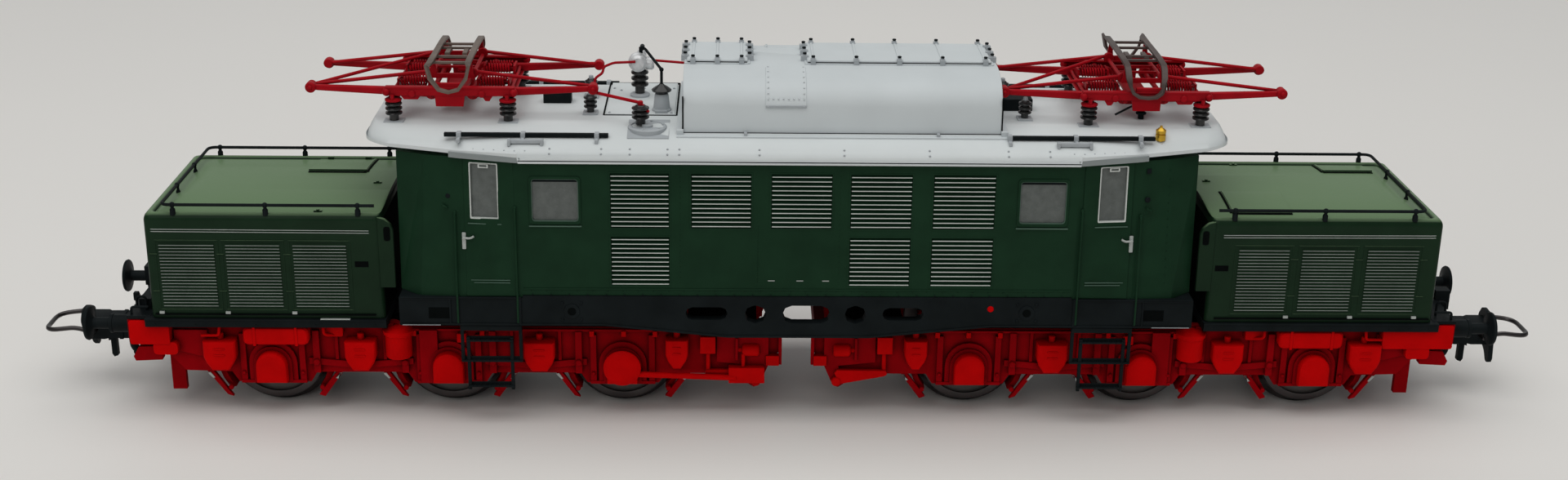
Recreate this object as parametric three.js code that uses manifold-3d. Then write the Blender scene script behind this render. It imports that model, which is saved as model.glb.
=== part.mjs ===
// Model electric locomotive, 1:87 scale, six axles on two swivelling bogies.
// Millimetres, +Z up.  X runs along the locomotive, the origin lies midway
// between the ends and the sides, at the height of the wheel flanges' bottoms.
import * as THREE from 'three';
import { mergeVertices } from 'three/addons/utils/BufferGeometryUtils.js';
import Module from 'manifold-3d';

const wasm = await Module();
wasm.setup();

// ---------------------------------------------------------------- dimensions
const FIT = 0.05;                 // gap between fixed pieces that touch
const PLAY = 0.3;                 // gap around pieces that turn

const AXLES = [26.2, 52.3, 78.7];  // distance of each axle from the middle
const PIVOT_X = 52.3;             // bogie pivot, over the middle axle
const FLANGE_R = 8.3;
const TREAD_R = 7.2;
const AXLE_Z = FLANGE_R;          // flanges touch z = 0
const WHEEL_OUT = 10;             // outer wheel face, from the middle
const WHEEL_IN = 7.2;             // inner wheel face, from the middle
const WHEEL_SIDES = 16;

const SIDE_Y = 17;                // body side
const CAB_X = 40.5;               // where the cab starts to narrow
const END_X = 58.7;               // cab end wall
const WALL_Z = [20.5, 41.5];      // body wall, bottom and top
const SILL_Z = 20.8;              // sill top between the cabs
const WALL = 1.3;

const ROOF_Z = 45.1;              // flat top of the roof
const EAVE_Z = WALL_Z[1] + FIT;
const MACHINE_X = [-17, 29.4];    // raised machine-room roof
const MACHINE_Y = 12.9;
const MACHINE_TOP = 52.7;

const BOARD_Z = [14.7, 16];       // running board of a bogie
const HOOD_X = [60.9, 95.6];
const HOOD_Y = 14.6;
const HOOD_TOP = 33;
const HOOD_PANELS = {             // louvred doors; the two hoods differ a little
  a: [[85.5, 93.7], [75.9, 84], [66.2, 74.2]],
  b: [[84.4, 92.2], [74.8, 82.6], [65.4, 73]],
};
const FRAME_Y = [11.3, 13];       // bogie side plate
const BEAM_X = 99.5;              // outer face of the buffer beam
const BUFFER_Y = 10.06;
const BUFFER_Z = 13.3;
const BUFFER_X = 106.9;           // buffer face

const PANTO_X = 50.9;             // middle of a pantograph
const ARM_RUN = 17.6;             // level distance from pivot to knee
const SHAFT_X = 3;                // pivots and apex shafts, from the middle
const BASE_PIVOT_Z = 48.8;
const KNEE_Z = 50;
const APEX_Z = 51.2;
const PIN_R = 0.4;
const EYE_R = 0.95;
const EYE_HOLE_R = 0.6;

// -------------------------------------------------------------------- solids
// A closed three.js geometry as a solid, turned the right way out.
function solid(geometry) {
  geometry.deleteAttribute('normal');
  geometry.deleteAttribute('uv');
  const merged = mergeVertices(geometry, 1e-5);
  const points = merged.attributes.position.array;
  const index = merged.index.array;
  const corner = (i) => new THREE.Vector3().fromArray(points, 3 * i);
  const triangles = [];
  let volume = 0;
  for (let i = 0; i < index.length; i += 3) {
    const [a, b, c] = [index[i], index[i + 1], index[i + 2]];
    if (a === b || b === c || c === a) continue;
    volume += corner(a).dot(corner(b).cross(corner(c)));
    triangles.push([a, b, c]);
  }
  const facing = volume < 0 ? triangles.map(([a, b, c]) => [a, c, b]) : triangles;
  return new wasm.Manifold(new wasm.Mesh({
    numProp: 3,
    vertProperties: new Float32Array(points),
    triVerts: new Uint32Array(facing.flat()),
  }));
}

function join(...solids) {
  return solids.flat().reduce((all, one) => all.add(one));
}

function cut(body, ...tools) {
  return tools.flat().reduce((all, one) => all.subtract(one), body);
}

function box(x0, x1, y0, y1, z0, z1) {
  const geometry = new THREE.BoxGeometry(x1 - x0, y1 - y0, z1 - z0);
  geometry.translate((x0 + x1) / 2, (y0 + y1) / 2, (z0 + z1) / 2);
  return solid(geometry);
}

// An outline pushed out along one axis: 'x' takes (y, z) points, 'y' takes
// (x, z) points and 'z' takes (x, y) points.
function prism(axis, from, to, outline) {
  const shape = new THREE.Shape(outline.map(([u, v]) => new THREE.Vector2(u, v)));
  const geometry = new THREE.ExtrudeGeometry(shape, { depth: to - from, bevelEnabled: false });
  geometry.translate(0, 0, from);
  const place = new THREE.Matrix4();
  if (axis === 'x') place.set(0, 0, 1, 0, 1, 0, 0, 0, 0, 1, 0, 0, 0, 0, 0, 1);
  if (axis === 'y') place.set(1, 0, 0, 0, 0, 0, 1, 0, 0, 1, 0, 0, 0, 0, 0, 1);
  geometry.applyMatrix4(place);
  return solid(geometry);
}

// A round bar from one point to another.
function rod(from, to, radius, sides = 8) {
  const a = new THREE.Vector3(...from);
  const b = new THREE.Vector3(...to);
  const geometry = new THREE.CylinderGeometry(radius, radius, a.distanceTo(b), sides);
  geometry.rotateY(Math.PI / sides);
  const along = b.clone().sub(a).normalize();
  const up = new THREE.Vector3(0, 1, 0);
  geometry.applyQuaternion(new THREE.Quaternion().setFromUnitVectors(up, along));
  geometry.translate(...a.add(b).multiplyScalar(0.5).toArray());
  return solid(geometry);
}

// A turned piece about an upright axis: profile of (radius, height) points.
function turned(x, y, profile, sides) {
  const points = profile.map(([r, h]) => new THREE.Vector2(r, h));
  const geometry = new THREE.LatheGeometry(points, sides, Math.PI / sides);
  geometry.rotateX(Math.PI / 2);
  geometry.translate(x, y, 0);
  return solid(geometry);
}

// Outlines stacked at rising heights, all with the same number of points.
function loft(rings) {
  const count = rings[0].points.length;
  const positions = [];
  const ringAt = (ring, i) => [...rings[ring].points[i % count], rings[ring].z];
  for (let ring = 0; ring + 1 < rings.length; ring += 1) {
    for (let i = 0; i < count; i += 1) {
      const [a, b] = [ringAt(ring, i), ringAt(ring, i + 1)];
      const [c, d] = [ringAt(ring + 1, i), ringAt(ring + 1, i + 1)];
      positions.push(...a, ...b, ...d, ...a, ...d, ...c);
    }
  }
  for (const [ring, flip] of [[0, true], [rings.length - 1, false]]) {
    const flat = rings[ring].points.map(([x, y]) => new THREE.Vector2(x, y));
    for (const face of THREE.ShapeUtils.triangulateShape(flat, [])) {
      const order = flip ? [face[0], face[2], face[1]] : face;
      for (const i of order) positions.push(...ringAt(ring, i));
    }
  }
  const geometry = new THREE.BufferGeometry();
  geometry.setAttribute('position', new THREE.Float32BufferAttribute(positions, 3));
  return solid(geometry);
}

// A quarter outline, first point nearest the Y axis, mirrored to all sides.
function fourWay(quarter) {
  const back = quarter.map(([x, y]) => [-x, y]).reverse();
  const top = [...quarter].reverse().concat([...back].reverse());
  return top.concat(top.map(([x, y]) => [-x, -y]));
}

// A two-sided outline, points of the +Y side from the rear to the front.
function twoWay(half) {
  return [...half].reverse().concat(half.map(([x, y]) => [x, -y]));
}

function ellipseHole(x0, x1, z, height, depth) {
  const r = height / 2;
  const outline = [];
  for (let i = 0; i < 5; i += 1) {
    const angle = -Math.PI / 2 + (Math.PI * i) / 4;
    outline.push([x1 - r + r * Math.cos(angle), z + r * Math.sin(angle)]);
  }
  for (let i = 0; i < 5; i += 1) {
    const angle = Math.PI / 2 + (Math.PI * i) / 4;
    outline.push([x0 + r + r * Math.cos(angle), z + r * Math.sin(angle)]);
  }
  return prism('y', -depth, depth, outline);
}

// --------------------------------------------------------------------- nodes
const finish = {
  green: [0x1d3a2b, 0.45, 0.1],
  hood: [0x2a4a36, 0.45, 0.1],
  black: [0x17191c, 0.5, 0.1],
  red: [0xc01515, 0.5, 0.05],
  crimson: [0xa0202c, 0.5, 0.1],
  roof: [0xb4bdc6, 0.6, 0.05],
  machine: [0x9fa8b0, 0.6, 0.05],
  insulator: [0x33281f, 0.35, 0.0],
  steel: [0x6d6a66, 0.35, 0.9],
  bronze: [0x5a4433, 0.4, 0.8],
  glass: [0x8a9096, 0.1, 0.0],
  silver: [0xc9ccd0, 0.3, 0.8],
};

function add(group, name, body, look) {
  const mesh = body.getMesh();
  const geometry = new THREE.BufferGeometry();
  geometry.setAttribute('position', new THREE.BufferAttribute(mesh.vertProperties, 3));
  geometry.setIndex(new THREE.BufferAttribute(mesh.triVerts, 1));
  geometry.computeVertexNormals();
  const [color, roughness, metalness] = finish[look];
  const material = new THREE.MeshStandardMaterial({ color, roughness, metalness });
  const node = new THREE.Mesh(geometry, material);
  node.name = name;
  group.add(node);
}

const loco = new THREE.Group();

// ---------------------------------------------------------------------- body
// Plan of the body at one height; the cabs narrow towards the roof.
function bodyPlan(lean, inset) {
  return fourWay([
    [CAB_X, SIDE_Y - inset],
    [49.3, SIDE_Y - 1.5 * lean - inset],
    [55.3 - lean - inset / 2, 16.6 - 2.4 * lean - inset],
    [END_X - inset, 13.6 - 1.2 * lean - inset / 2],
  ]);
}

function louvreRecess(x0, x1, z0, z1, y, depth) {
  return [y, -y].map((side) => box(x0, x1, side - depth, side + depth, z0, z1));
}

function bodyShell() {
  const shell = loft([
    { z: WALL_Z[0], points: bodyPlan(0, 0) },
    { z: WALL_Z[1], points: bodyPlan(1, 0) },
  ]);
  const room = loft([
    { z: WALL_Z[0] - 1, points: bodyPlan(-0.05, WALL) },
    { z: WALL_Z[1] + 1, points: bodyPlan(1.05, WALL) },
  ]);
  const sillStep = box(-CAB_X, CAB_X, -20, 20, WALL_Z[0] - 1, SILL_Z + FIT);
  const windows = [-1, 1].flatMap((end) => {
    const side = [31.9 * end, 38.9 * end].sort((a, b) => a - b);
    const door = [43.6 * end, 47.7 * end].sort((a, b) => a - b);
    const front = [END_X - 3, END_X + 1].map((x) => x * end).sort((a, b) => a - b);
    return [
      box(...side, -20, 20, 32.2, 39),
      box(...door, -20, 20, 32.6, 40.8),
      box(...front, 2.2, 9.4, 34.6, 40),
      box(...front, -9.4, -2.2, 34.6, 40),
    ];
  });
  const upper = [[-27.4, -18.9], [-15.7, -7], [-4.1, 4.7], [7.4, 16.3], [19.4, 28.4]];
  const lower = [upper[0], upper[3], upper[4]];
  const recesses = [
    ...upper.flatMap(([a, b]) => louvreRecess(a, b, 31.4, 39.7, SIDE_Y, 0.4)),
    ...lower.flatMap(([a, b]) => louvreRecess(a, b, 22.6, 30.2, SIDE_Y, 0.4)),
  ];
  return cut(shell, room, sillStep, windows, recesses);
}

// A clear moulding that backs the windows of one cab.
function glazing() {
  const skin = 0.7;
  const outer = [[30, 14], [48.5, 13.6], [53, 12.2], [56.5, 10.7]];
  const inner = outer.map(([x, y], i) => [x - (i === 3 ? skin : 0), y - skin]);
  const around = prism('z', 31, 41.3, twoWay(outer));
  const inside = prism('z', 30, 42, twoWay([[29, 14 - skin], ...inner.slice(1)]));
  return cut(around, inside);
}

// Plan of the roof between its eave (rise 0) and its flat top (rise 1).
function roofPlan(rise) {
  const eave = [[CAB_X, 17.7], [49.5, 16], [60.2, 13.4], [62.9, 10.6], [63.6, 7]];
  const top = [[CAB_X, 10.8], [49.5, 10.8], [60, 10.6], [61.8, 8.6], [62.3, 5.6]];
  return fourWay(eave.map(([x, y], i) => [
    x + rise * (top[i][0] - x),
    y + rise * (top[i][1] - y),
  ]));
}

function roofSolid() {
  return loft([
    { z: EAVE_Z, points: roofPlan(0) },
    { z: 42.3, points: roofPlan(0.01) },
    { z: 43.5, points: roofPlan(0.22) },
    { z: 44.4, points: roofPlan(0.55) },
    { z: ROOF_Z, points: roofPlan(1) },
  ]);
}

function roof() {
  const underside = loft([
    { z: EAVE_Z - 1, points: bodyPlan(1, 2.2) },
    { z: 43.2, points: bodyPlan(1, 4.2) },
  ]);
  return cut(roofSolid(), underside);
}

// What is left of a piece above the roof, with a touch of air.
function onRoof(body) {
  return cut(body, roofSolid().translate([0, 0, FIT]));
}

function machineRoof() {
  const side = MACHINE_Y;
  const [x0, x1] = MACHINE_X;
  const ring = (inset, z) => ({
    z,
    points: [[x0 + inset * 0.5, -side + inset], [x1 - inset * 0.5, -side + inset],
      [x1 - inset * 0.5, side - inset], [x0 + inset * 0.5, side - inset]],
  });
  const outer = loft([ring(0, 43.6), ring(0.1, 48.9), ring(0.9, 50.6), ring(2.4, 51.7),
    ring(4.6, 52.4), ring(7.4, MACHINE_TOP)]);
  const inner = loft([ring(1.2, 43), ring(1.5, 49.4), ring(3.4, 50.4), ring(6, 50.8)]);
  return onRoof(cut(outer, inner));
}

// A roof hatch with clamps along its edges.
function hatch(x0, x1, count) {
  const y = 5.8;
  const z = MACHINE_TOP + FIT;
  const lid = box(x0, x1, -y, y, z, z + 0.5);
  const clamps = [];
  for (let i = 0; i < count; i += 1) {
    const x = x0 + 0.9 + ((x1 - x0 - 1.8) * i) / (count - 1);
    for (const side of [-1, 1]) {
      clamps.push(rod([x, side * (y - 0.4), z + 0.2], [x, side * (y - 0.4), z + 1.3], 0.35, 6));
    }
  }
  return join(lid, clamps);
}

function bridgeFrame() {
  const [floor0, floor1] = [19.6, WALL_Z[0] - FIT];
  const edge = SIDE_Y + 0.2;
  const web = [
    [-58.6, 16.1], [-28.6, 16.1], [-10.5, 14.3], [10.5, 14.3], [28.6, 16.1], [58.6, 16.1],
    [58.6, floor1], [CAB_X - FIT, floor1], [CAB_X - FIT, SILL_Z], [-CAB_X + FIT, SILL_Z],
    [-CAB_X + FIT, floor1], [-58.6, floor1],
  ];
  const plates = [prism('y', -edge, -15.5, web), prism('y', 15.5, edge, web)];
  const floor = box(-58.6, 58.6, -15.8, 15.8, floor0, floor1);
  const beams = [-1, 1].map((end) => {
    const [a, b] = [57.6 * end, 58.6 * end].sort((p, q) => p - q);
    return box(a, b, -16, 16, 16.1, floor1);
  });
  const holes = [
    ellipseHole(-2.3, 4.8, 18, 2.8, 20),
    ellipseHole(-7.9, -4.7, 18, 2.8, 20),
    ellipseHole(6.9, 10.1, 18, 2.8, 20),
    ellipseHole(-16.6, -10.4, 18.1, 2, 20),
    ellipseHole(12.5, 18.6, 18.1, 2, 20),
    ellipseHole(-34.2, -32.4, 18.4, 1.7, 20),
    ellipseHole(33, 34.8, 18.4, 1.7, 20),
  ];
  const bores = [-PIVOT_X, PIVOT_X].map((x) => rod([x, 0, 19], [x, 0, 21], 2.4 + PLAY + 0.1, 16));
  return cut(join(plates, floor, beams), holes, bores);
}

// Steps under a cab door, on the side given by the sign: a ladder in a wider frame.
function ladder(side) {
  const [y0, y1] = [side * 16.35, side * 17.15].sort((a, b) => a - b);
  const [frame0, frame1] = [40.8, 49.8];
  const [rail0, rail1] = [42.1, 49];
  const post = (x0, x1, z) => box(x0, x1, y0, y1, z, 16.1 - FIT);
  const rung = (x0, x1, z) => box(x0, x1, y0, y1, z - 0.3, z + 0.3);
  return join(
    post(frame0, frame0 + 0.4, 10.1), post(frame1 - 0.4, frame1, 10.1),
    post(rail0, rail0 + 0.5, 5.6), post(rail1 - 0.5, rail1, 5.6),
    rung(frame0, frame1, 10.4), rung(frame0, frame1, 15.4), rung(rail0, rail1, 13.5), rung(rail0, rail1, 6.2));
}

const MOTOR_Z = 29.5;

function motor() {
  const stator = box(-14, 14, -7.5, 7.5, SILL_Z + FIT, 37);
  const saddle = box(-10, 10, -9.5, 9.5, WALL_Z[0] + FIT, 23.5);
  return cut(join(stator, saddle), rod([-15, 0, MOTOR_Z], [15, 0, MOTOR_Z], 1 + PLAY, 12));
}

function motorShaft() {
  const shaft = rod([-30, 0, MOTOR_Z], [30, 0, MOTOR_Z], 1, 12);
  const flywheel = (x) => rod([x, 0, MOTOR_Z], [x + 9, 0, MOTOR_Z], 7, 16);
  return join(shaft, flywheel(-26), flywheel(17));
}

// A ribbed insulator: three sheds on a foot.
function sheds(x, y, z, height, radius) {
  const pitch = height / 4;
  const profile = [[0, z], [radius, z], [radius, z + pitch / 3]];
  for (let i = 1; i < 4; i += 1) {
    profile.push([radius * 0.45, z + (i - 0.4) * pitch], [radius, z + i * pitch]);
  }
  profile.push([radius * 0.5, z + height], [0, z + height]);
  return turned(x, y, profile, 7);
}

function mainSwitch() {
  const z = ROOF_Z + FIT;
  const plate = box(-28.2, -18.2, -7.6, 9.2, z, z + 0.4);
  const drum = rod([-25.4, 4.8, 50.8], [-22.6, 4.8, 50.8], 1.2, 10);
  const arm = rod([-23.4, 4.8, 51.2], [-20.2, 3, 52.1], 0.3, 6);
  const drop = rod([-20.2, 3, 52.2], [-20.2, -3.2, 50.4], 0.3, 6);
  const cone = turned(-20.2, -3.2, [[0, z + 0.2], [1.5, z + 0.2], [1.1, 47.6], [0, 47.6]], 10);
  return join(plate, sheds(-24, 4.8, z + 0.2, 4.9, 1.3), drum, arm, drop, cone,
    sheds(-20.2, -3.2, 47.5, 3.1, 1.1));
}

function busInsulator() {
  const dish = turned(-22.2, -11.2, [[0, 43.9], [3, 43.9], [2.8, 45.5], [0, 45.5]], 12);
  return join(onRoof(dish), sheds(-22.2, -11.2, 45.4, 3.4, 1.2));
}

add(loco, 'body_shell', bodyShell(), 'green');
add(loco, 'roof', roof(), 'roof');
add(loco, 'machine_roof', machineRoof(), 'machine');
add(loco, 'roof_hatch_short', hatch(-16.6, -7.6, 3), 'machine');
add(loco, 'roof_hatch_long', hatch(1.2, 28.6, 5), 'machine');
add(loco, 'bridge_frame', bridgeFrame(), 'black');
add(loco, 'motor', motor(), 'steel');
add(loco, 'motor_shaft', motorShaft(), 'bronze');
add(loco, 'main_switch', mainSwitch(), 'silver');
add(loco, 'bus_insulator', busInsulator(), 'insulator');
for (const [end, turn] of [['a', Math.PI], ['b', 0]]) {
  const cab = new THREE.Group();
  cab.rotation.z = turn;
  loco.add(cab);
  add(cab, `glazing_${end}`, glazing(), 'glass');
  add(cab, `ladder_${end}1`, ladder(-1), 'black');
  add(cab, `ladder_${end}2`, ladder(1), 'black');
}

// -------------------------------------------------------------------- bogies
// Each bogie is drawn at the +X end; bogie a is the same one turned about Z.
function bogieFrame() {
  const [y0, y1] = FRAME_Y;
  const top = BOARD_Z[0] - FIT;
  const outline = [[2.3, 10.2], [4.2, 8], [6, 6.4]];
  for (const x of AXLES) {
    outline.push([x - 6.2, 6.4], [x - 5.2, 4.8], [x + 5.2, 4.8], [x + 6.2, 6.4]);
  }
  outline.push([92, 6.6], [95, 8.6], [BEAM_X, 12.4], [BEAM_X, top], [60, top], [59, 13.9], [2.3, 13.9]);
  const plates = [prism('y', y0, y1, outline), prism('y', -y1, -y0, outline)];
  const crossing = [
    box(2.3, 4.6, -y1, y1, 10.2, 13.9),
    box(37.6, 41, -12, 12, 13.4, 15.4),
    box(63.6, 67, -12, 12, 13.4, top),
    box(97.4, BEAM_X, -14, 14, 12.2, 15.6),
  ];
  const covers = AXLES.flatMap((x) => [-1, 1].map((side) => join(
    rod([x, side * (y1 - 0.3), AXLE_Z], [x, side * 14, AXLE_Z], 2.8, 12),
    rod([x, side * (y1 - 0.3), AXLE_Z], [x, side * 15, AXLE_Z], 2.2, 12),
    box(x - 2.2, x + 2.2, ...[side * (y1 - 0.3), side * 15].sort((p, q) => p - q), 5.5, AXLE_Z))));
  const sandbox = (x, half = 2.3) => [-1, 1].map((side) => {
    const faces = [side * (y1 - 0.3), side * 14.6].sort((p, q) => p - q);
    const shape = [[half, 12.2], [half, 9.8], [half - 1.1, 7.5]];
    return prism('y', ...faces, [
      ...shape.map(([reach, z]) => [x - reach, z]),
      ...shape.reverse().map(([reach, z]) => [x + reach, z]),
    ]);
  });
  const pin = rod([94, 0, 6.8], [94, 0, 13], 0.9, 10);
  const pinHolder = box(92.6, 98, -3, 3, 12.2, 13.6);
  const boxes = [sandbox(18, 1.7), sandbox(38.6), sandbox(65.3), sandbox(86.2)].flat();
  return cut(join(plates, crossing, covers, boxes, pinHolder, pin),
    box(37, 68, -5.6, 5.6, 12, 13.9));
}

function runningBoard() {
  const [x0, x1] = [61, 96.6];
  const board = box(x0, x1, -15, 15, ...BOARD_Z);
  return cut(board, box(x0 + 2.6, x1 - 2, -11.2, 11.2, BOARD_Z[0] - 1, BOARD_Z[1] + 1));
}

function hoodPlan(side, rear, front, corner) {
  return twoWay([[rear, side], [front - corner, side], [front, side - corner]]);
}

function hoodOuter() {
  const [x0, x1] = HOOD_X;
  return loft([
    { z: BOARD_Z[1] + FIT, points: hoodPlan(HOOD_Y, x0, x1, 0.7) },
    { z: 31.2, points: hoodPlan(HOOD_Y, x0, x1, 0.7) },
    { z: 32, points: hoodPlan(HOOD_Y - 0.4, x0, x1 - 0.5, 0.7) },
    { z: 32.15, points: hoodPlan(HOOD_Y - 1.4, x0, x1 - 1.6, 0.7) },
    { z: HOOD_TOP, points: hoodPlan(HOOD_Y - 10, x0, x1 - 6, 0.7) },
  ]);
}

function hood(panels) {
  const [x0, x1] = HOOD_X;
  const z0 = BOARD_Z[1];
  const room = loft([
    { z: z0 - 1, points: hoodPlan(HOOD_Y - 1.1, x0 + 1.1, x1 - 1.1, 0.7) },
    { z: 30.2, points: hoodPlan(HOOD_Y - 1.1, x0 + 1.1, x1 - 1.1, 0.7) },
    { z: 31.6, points: hoodPlan(HOOD_Y - 5, x0 + 1.1, x1 - 5, 0.7) },
  ]);
  const eaves = [-1, 1].map((side) => {
    const [y0, y1] = [side * 13.9, side * HOOD_Y].sort((p, q) => p - q);
    return box(59.2, x0 + 1, y0, y1, 21, 30.4);
  });
  const flap = prism('z', 31.2, 31.9, twoWay([[59.9, 9], [x0, 12.6], [x0 + 1, 13]]));
  const recesses = panels.flatMap(([a, b]) => louvreRecess(a, b, 17.8, 27.8, HOOD_Y, 0.35));
  const slots = louvreRecess(62.6, 64.6, 24.1, 25, HOOD_Y, 0.6);
  return cut(join(hoodOuter(), eaves, flap), room, recesses, slots);
}

function hoodRail() {
  const [y, z, r] = [14.2, 33.6, 0.26];
  const [rear, front] = [63.6, 92.6];
  const bars = [
    box(rear, front + r, y - r, y + r, z - r, z + r),
    box(rear, front + r, -y - r, -y + r, z - r, z + r),
    box(front - r, front + r, -y, y, z - r, z + r),
  ];
  const posts = [64.7, 78.2, 91.7].flatMap((x) => [-1, 1].map((side) => (
    rod([x, side * (y - 1), 31.6], [x, side * y, z], 0.4, 5))));
  const frontPosts = [-5, 5].map((py) => rod([front - 1, py, 31.3], [front, py, z], 0.35, 5));
  return cut(join(bars, posts, frontPosts), hoodOuter().translate([0, 0, FIT]));
}

function gearbox() {
  const body = box(20.6, 84.4, -5.2, 5.2, 3.8, 13.6);
  const boss = rod([PIVOT_X, 0, 13], [PIVOT_X, 0, 19.6 - PLAY], 4.4, 16);
  const pin = rod([PIVOT_X, 0, 19], [PIVOT_X, 0, 21.6], 2.4, 16);
  const slots = AXLES.flatMap((x) => [
    box(x - 1.4, x + 1.4, -6, 6, 2, AXLE_Z + 1.4),
    box(x - 3.9, x + 3.9, -1.6, 1.6, 2, AXLE_Z + 3.9),
  ]);
  return cut(join(body, boss, pin), slots);
}

// Wheels, axle and driven gear turned as one, with a flat of the flange down.
function wheelset(x) {
  const rim = 1 / Math.cos(Math.PI / WHEEL_SIDES);
  const half = [[0, 10.7], [0.9, 10.7], [0.9, WHEEL_OUT], [TREAD_R * rim, WHEEL_OUT],
    [TREAD_R * rim, 8], [FLANGE_R * rim, 7.7], [FLANGE_R * 0.97 * rim, WHEEL_IN], [1, WHEEL_IN]];
  const profile = half.map(([r, y]) => [r, -y]).concat([...half].reverse());
  const points = profile.map(([r, h]) => new THREE.Vector2(r, h));
  const geometry = new THREE.LatheGeometry(points, WHEEL_SIDES, Math.PI / WHEEL_SIDES);
  geometry.translate(x, 0, AXLE_Z);
  return join(solid(geometry), rod([x, -1.2, AXLE_Z], [x, 1.2, AXLE_Z], 3.4, 10));
}

function buffer(side) {
  const y = side * BUFFER_Y;
  const sleeve = rod([BEAM_X + FIT, y, BUFFER_Z], [103.2, y, BUFFER_Z], 1.35, 8);
  const plunger = rod([103, y, BUFFER_Z], [BUFFER_X - 0.3, y, BUFFER_Z], 0.9, 8);
  const disc = rod([BUFFER_X - 0.7, y, BUFFER_Z], [BUFFER_X, y, BUFFER_Z], 2.6, 16);
  const flange = box(BEAM_X + FIT, BEAM_X + 0.6, y - 1.7, y + 1.7, 11.8, 14.8);
  return join(sleeve, plunger, disc, flange);
}

const COUPLER_Z = 9;
const LOOP_X = 108.4;              // hinge of the loop, in the coupler's neck

function couplerShank() {
  const bar = box(94, 107, -1.9, 1.9, 7.4, 10.6);
  const neck = box(106.8, 110, -1.7, 1.7, 7.2, 10.2);
  const eye = rod([94, 0, 7.4], [94, 0, 10.6], 2.2, 12);
  const plate = prism('x', 109.6, 110.4, [
    [-3.1, 5.9], [-1.6, 5.7], [1.9, 8.2], [2.6, 10.6], [1.5, 12.1], [-0.2, 11.9], [-2.2, 10.9], [-2.9, 9],
  ]);
  const blade = box(105.9, 106.8, -0.5, 0.5, 3.7, 8);
  return cut(join(bar, neck, eye, plate, blade), rod([94, 0, 7], [94, 0, 11], 0.9 + PLAY, 10),
    rod([LOOP_X, -5, COUPLER_Z], [LOOP_X, 5, COUPLER_Z], 0.35 + PLAY, 10));
}

// A bail whose pin lies in the neck; its bow stands off the plate.
function couplerLoop() {
  const r = 0.35;
  const y = 3.6;
  const tip = 116.2;
  const arm = (side) => join(
    rod([LOOP_X, side, COUPLER_Z], [110.8, side, COUPLER_Z + 0.9], r, 6),
    rod([110.7, side, COUPLER_Z + 0.9], [tip, side, COUPLER_Z + 0.3], r, 6));
  const pin = rod([LOOP_X, -y - 0.3, COUPLER_Z], [LOOP_X, y + 0.3, COUPLER_Z], r, 8);
  const bow = rod([tip, -y - 0.3, COUPLER_Z + 0.3], [tip, y + 0.3, COUPLER_Z + 0.3], r, 6);
  return join(arm(-y), arm(y), pin, bow);
}

for (const [end, turn] of [['a', Math.PI], ['b', 0]]) {
  const bogie = new THREE.Group();
  bogie.rotation.z = turn;
  loco.add(bogie);
  add(bogie, `bogie_frame_${end}`, bogieFrame(), 'red');
  add(bogie, `running_board_${end}`, runningBoard(), 'black');
  add(bogie, `hood_${end}`, hood(HOOD_PANELS[end]), 'hood');
  add(bogie, `hood_rail_${end}`, hoodRail(), 'black');
  add(bogie, `gearbox_${end}`, gearbox(), 'black');
  AXLES.forEach((x, i) => add(bogie, `wheelset_${end}${i + 1}`, wheelset(x), 'steel'));
  add(bogie, `buffer_${end}_1`, buffer(-1), 'black');
  add(bogie, `buffer_${end}_2`, buffer(1), 'black');
  add(bogie, `coupler_shank_${end}`, couplerShank(), 'black');
  add(bogie, `coupler_loop_${end}`, couplerLoop(), 'steel');
}

// --------------------------------------------------------------- pantographs
// An eye around a shaft that runs along Y, with room to turn.
function eye(x, y, z) {
  const hole = rod([x, y - 0.6, z], [x, y + 0.6, z], EYE_HOLE_R, 8);
  return cut(rod([x, y - 0.35, z], [x, y + 0.35, z], EYE_R, 8), hole);
}

function pantoBase() {
  const [half, y] = [9.4, 9.2];
  const rails = [-y, y].map((side) => box(-half, half, side - 0.6, side + 0.6, 48.5, 50));
  const crossing = [-8.3, 8.3].map((x) => box(x - 0.8, x + 0.8, -y, y, 48.2 + FIT, 48.6));
  const shafts = [-SHAFT_X, SHAFT_X].map((x) => (
    rod([x, -y, BASE_PIVOT_Z], [x, y, BASE_PIVOT_Z], PIN_R, 8)));
  return join(rails, crossing, shafts);
}

// Arms drawn for the -X half; the other half is the same piece turned.
function lowerArm() {
  const [pivot, knee] = [-SHAFT_X, -SHAFT_X - ARM_RUN];
  const tubes = [-7.6, 7.6].flatMap((y) => [
    eye(pivot, y, BASE_PIVOT_Z),
    rod([pivot - 0.75, y, BASE_PIVOT_Z + 0.06], [knee, y, KNEE_Z], 0.42, 5),
  ]);
  const kneeShaft = rod([knee, -8.3, KNEE_Z], [knee, 8.3, KNEE_Z], PIN_R, 8);
  const brace = rod([-8.4, -7.6, 49.2], [-8.4, 7.6, 49.2], 0.3, 5);
  return join(tubes, kneeShaft, brace);
}

function upperArm() {
  const [apex, knee] = [-SHAFT_X, -SHAFT_X - ARM_RUN];
  const rise = APEX_Z - KNEE_Z;
  const bars = [-1, 1].flatMap((side) => [
    eye(knee, 6.7 * side, KNEE_Z),
    eye(apex, 5.9 * side, APEX_Z),
    rod([knee + 0.75, 6.7 * side, KNEE_Z + 0.06], [apex - 0.75, 5.9 * side, APEX_Z - 0.06], 0.3, 5),
  ]);
  const brace = (x) => {
    const along = (x - knee) / ARM_RUN;
    const [y, z] = [6.7 - 0.8 * along, KNEE_Z + rise * along];
    return rod([x, -y, z], [x, y, z], 0.22, 5);
  };
  return join(bars, brace(knee + 3), brace(apex - 3));
}

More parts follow.
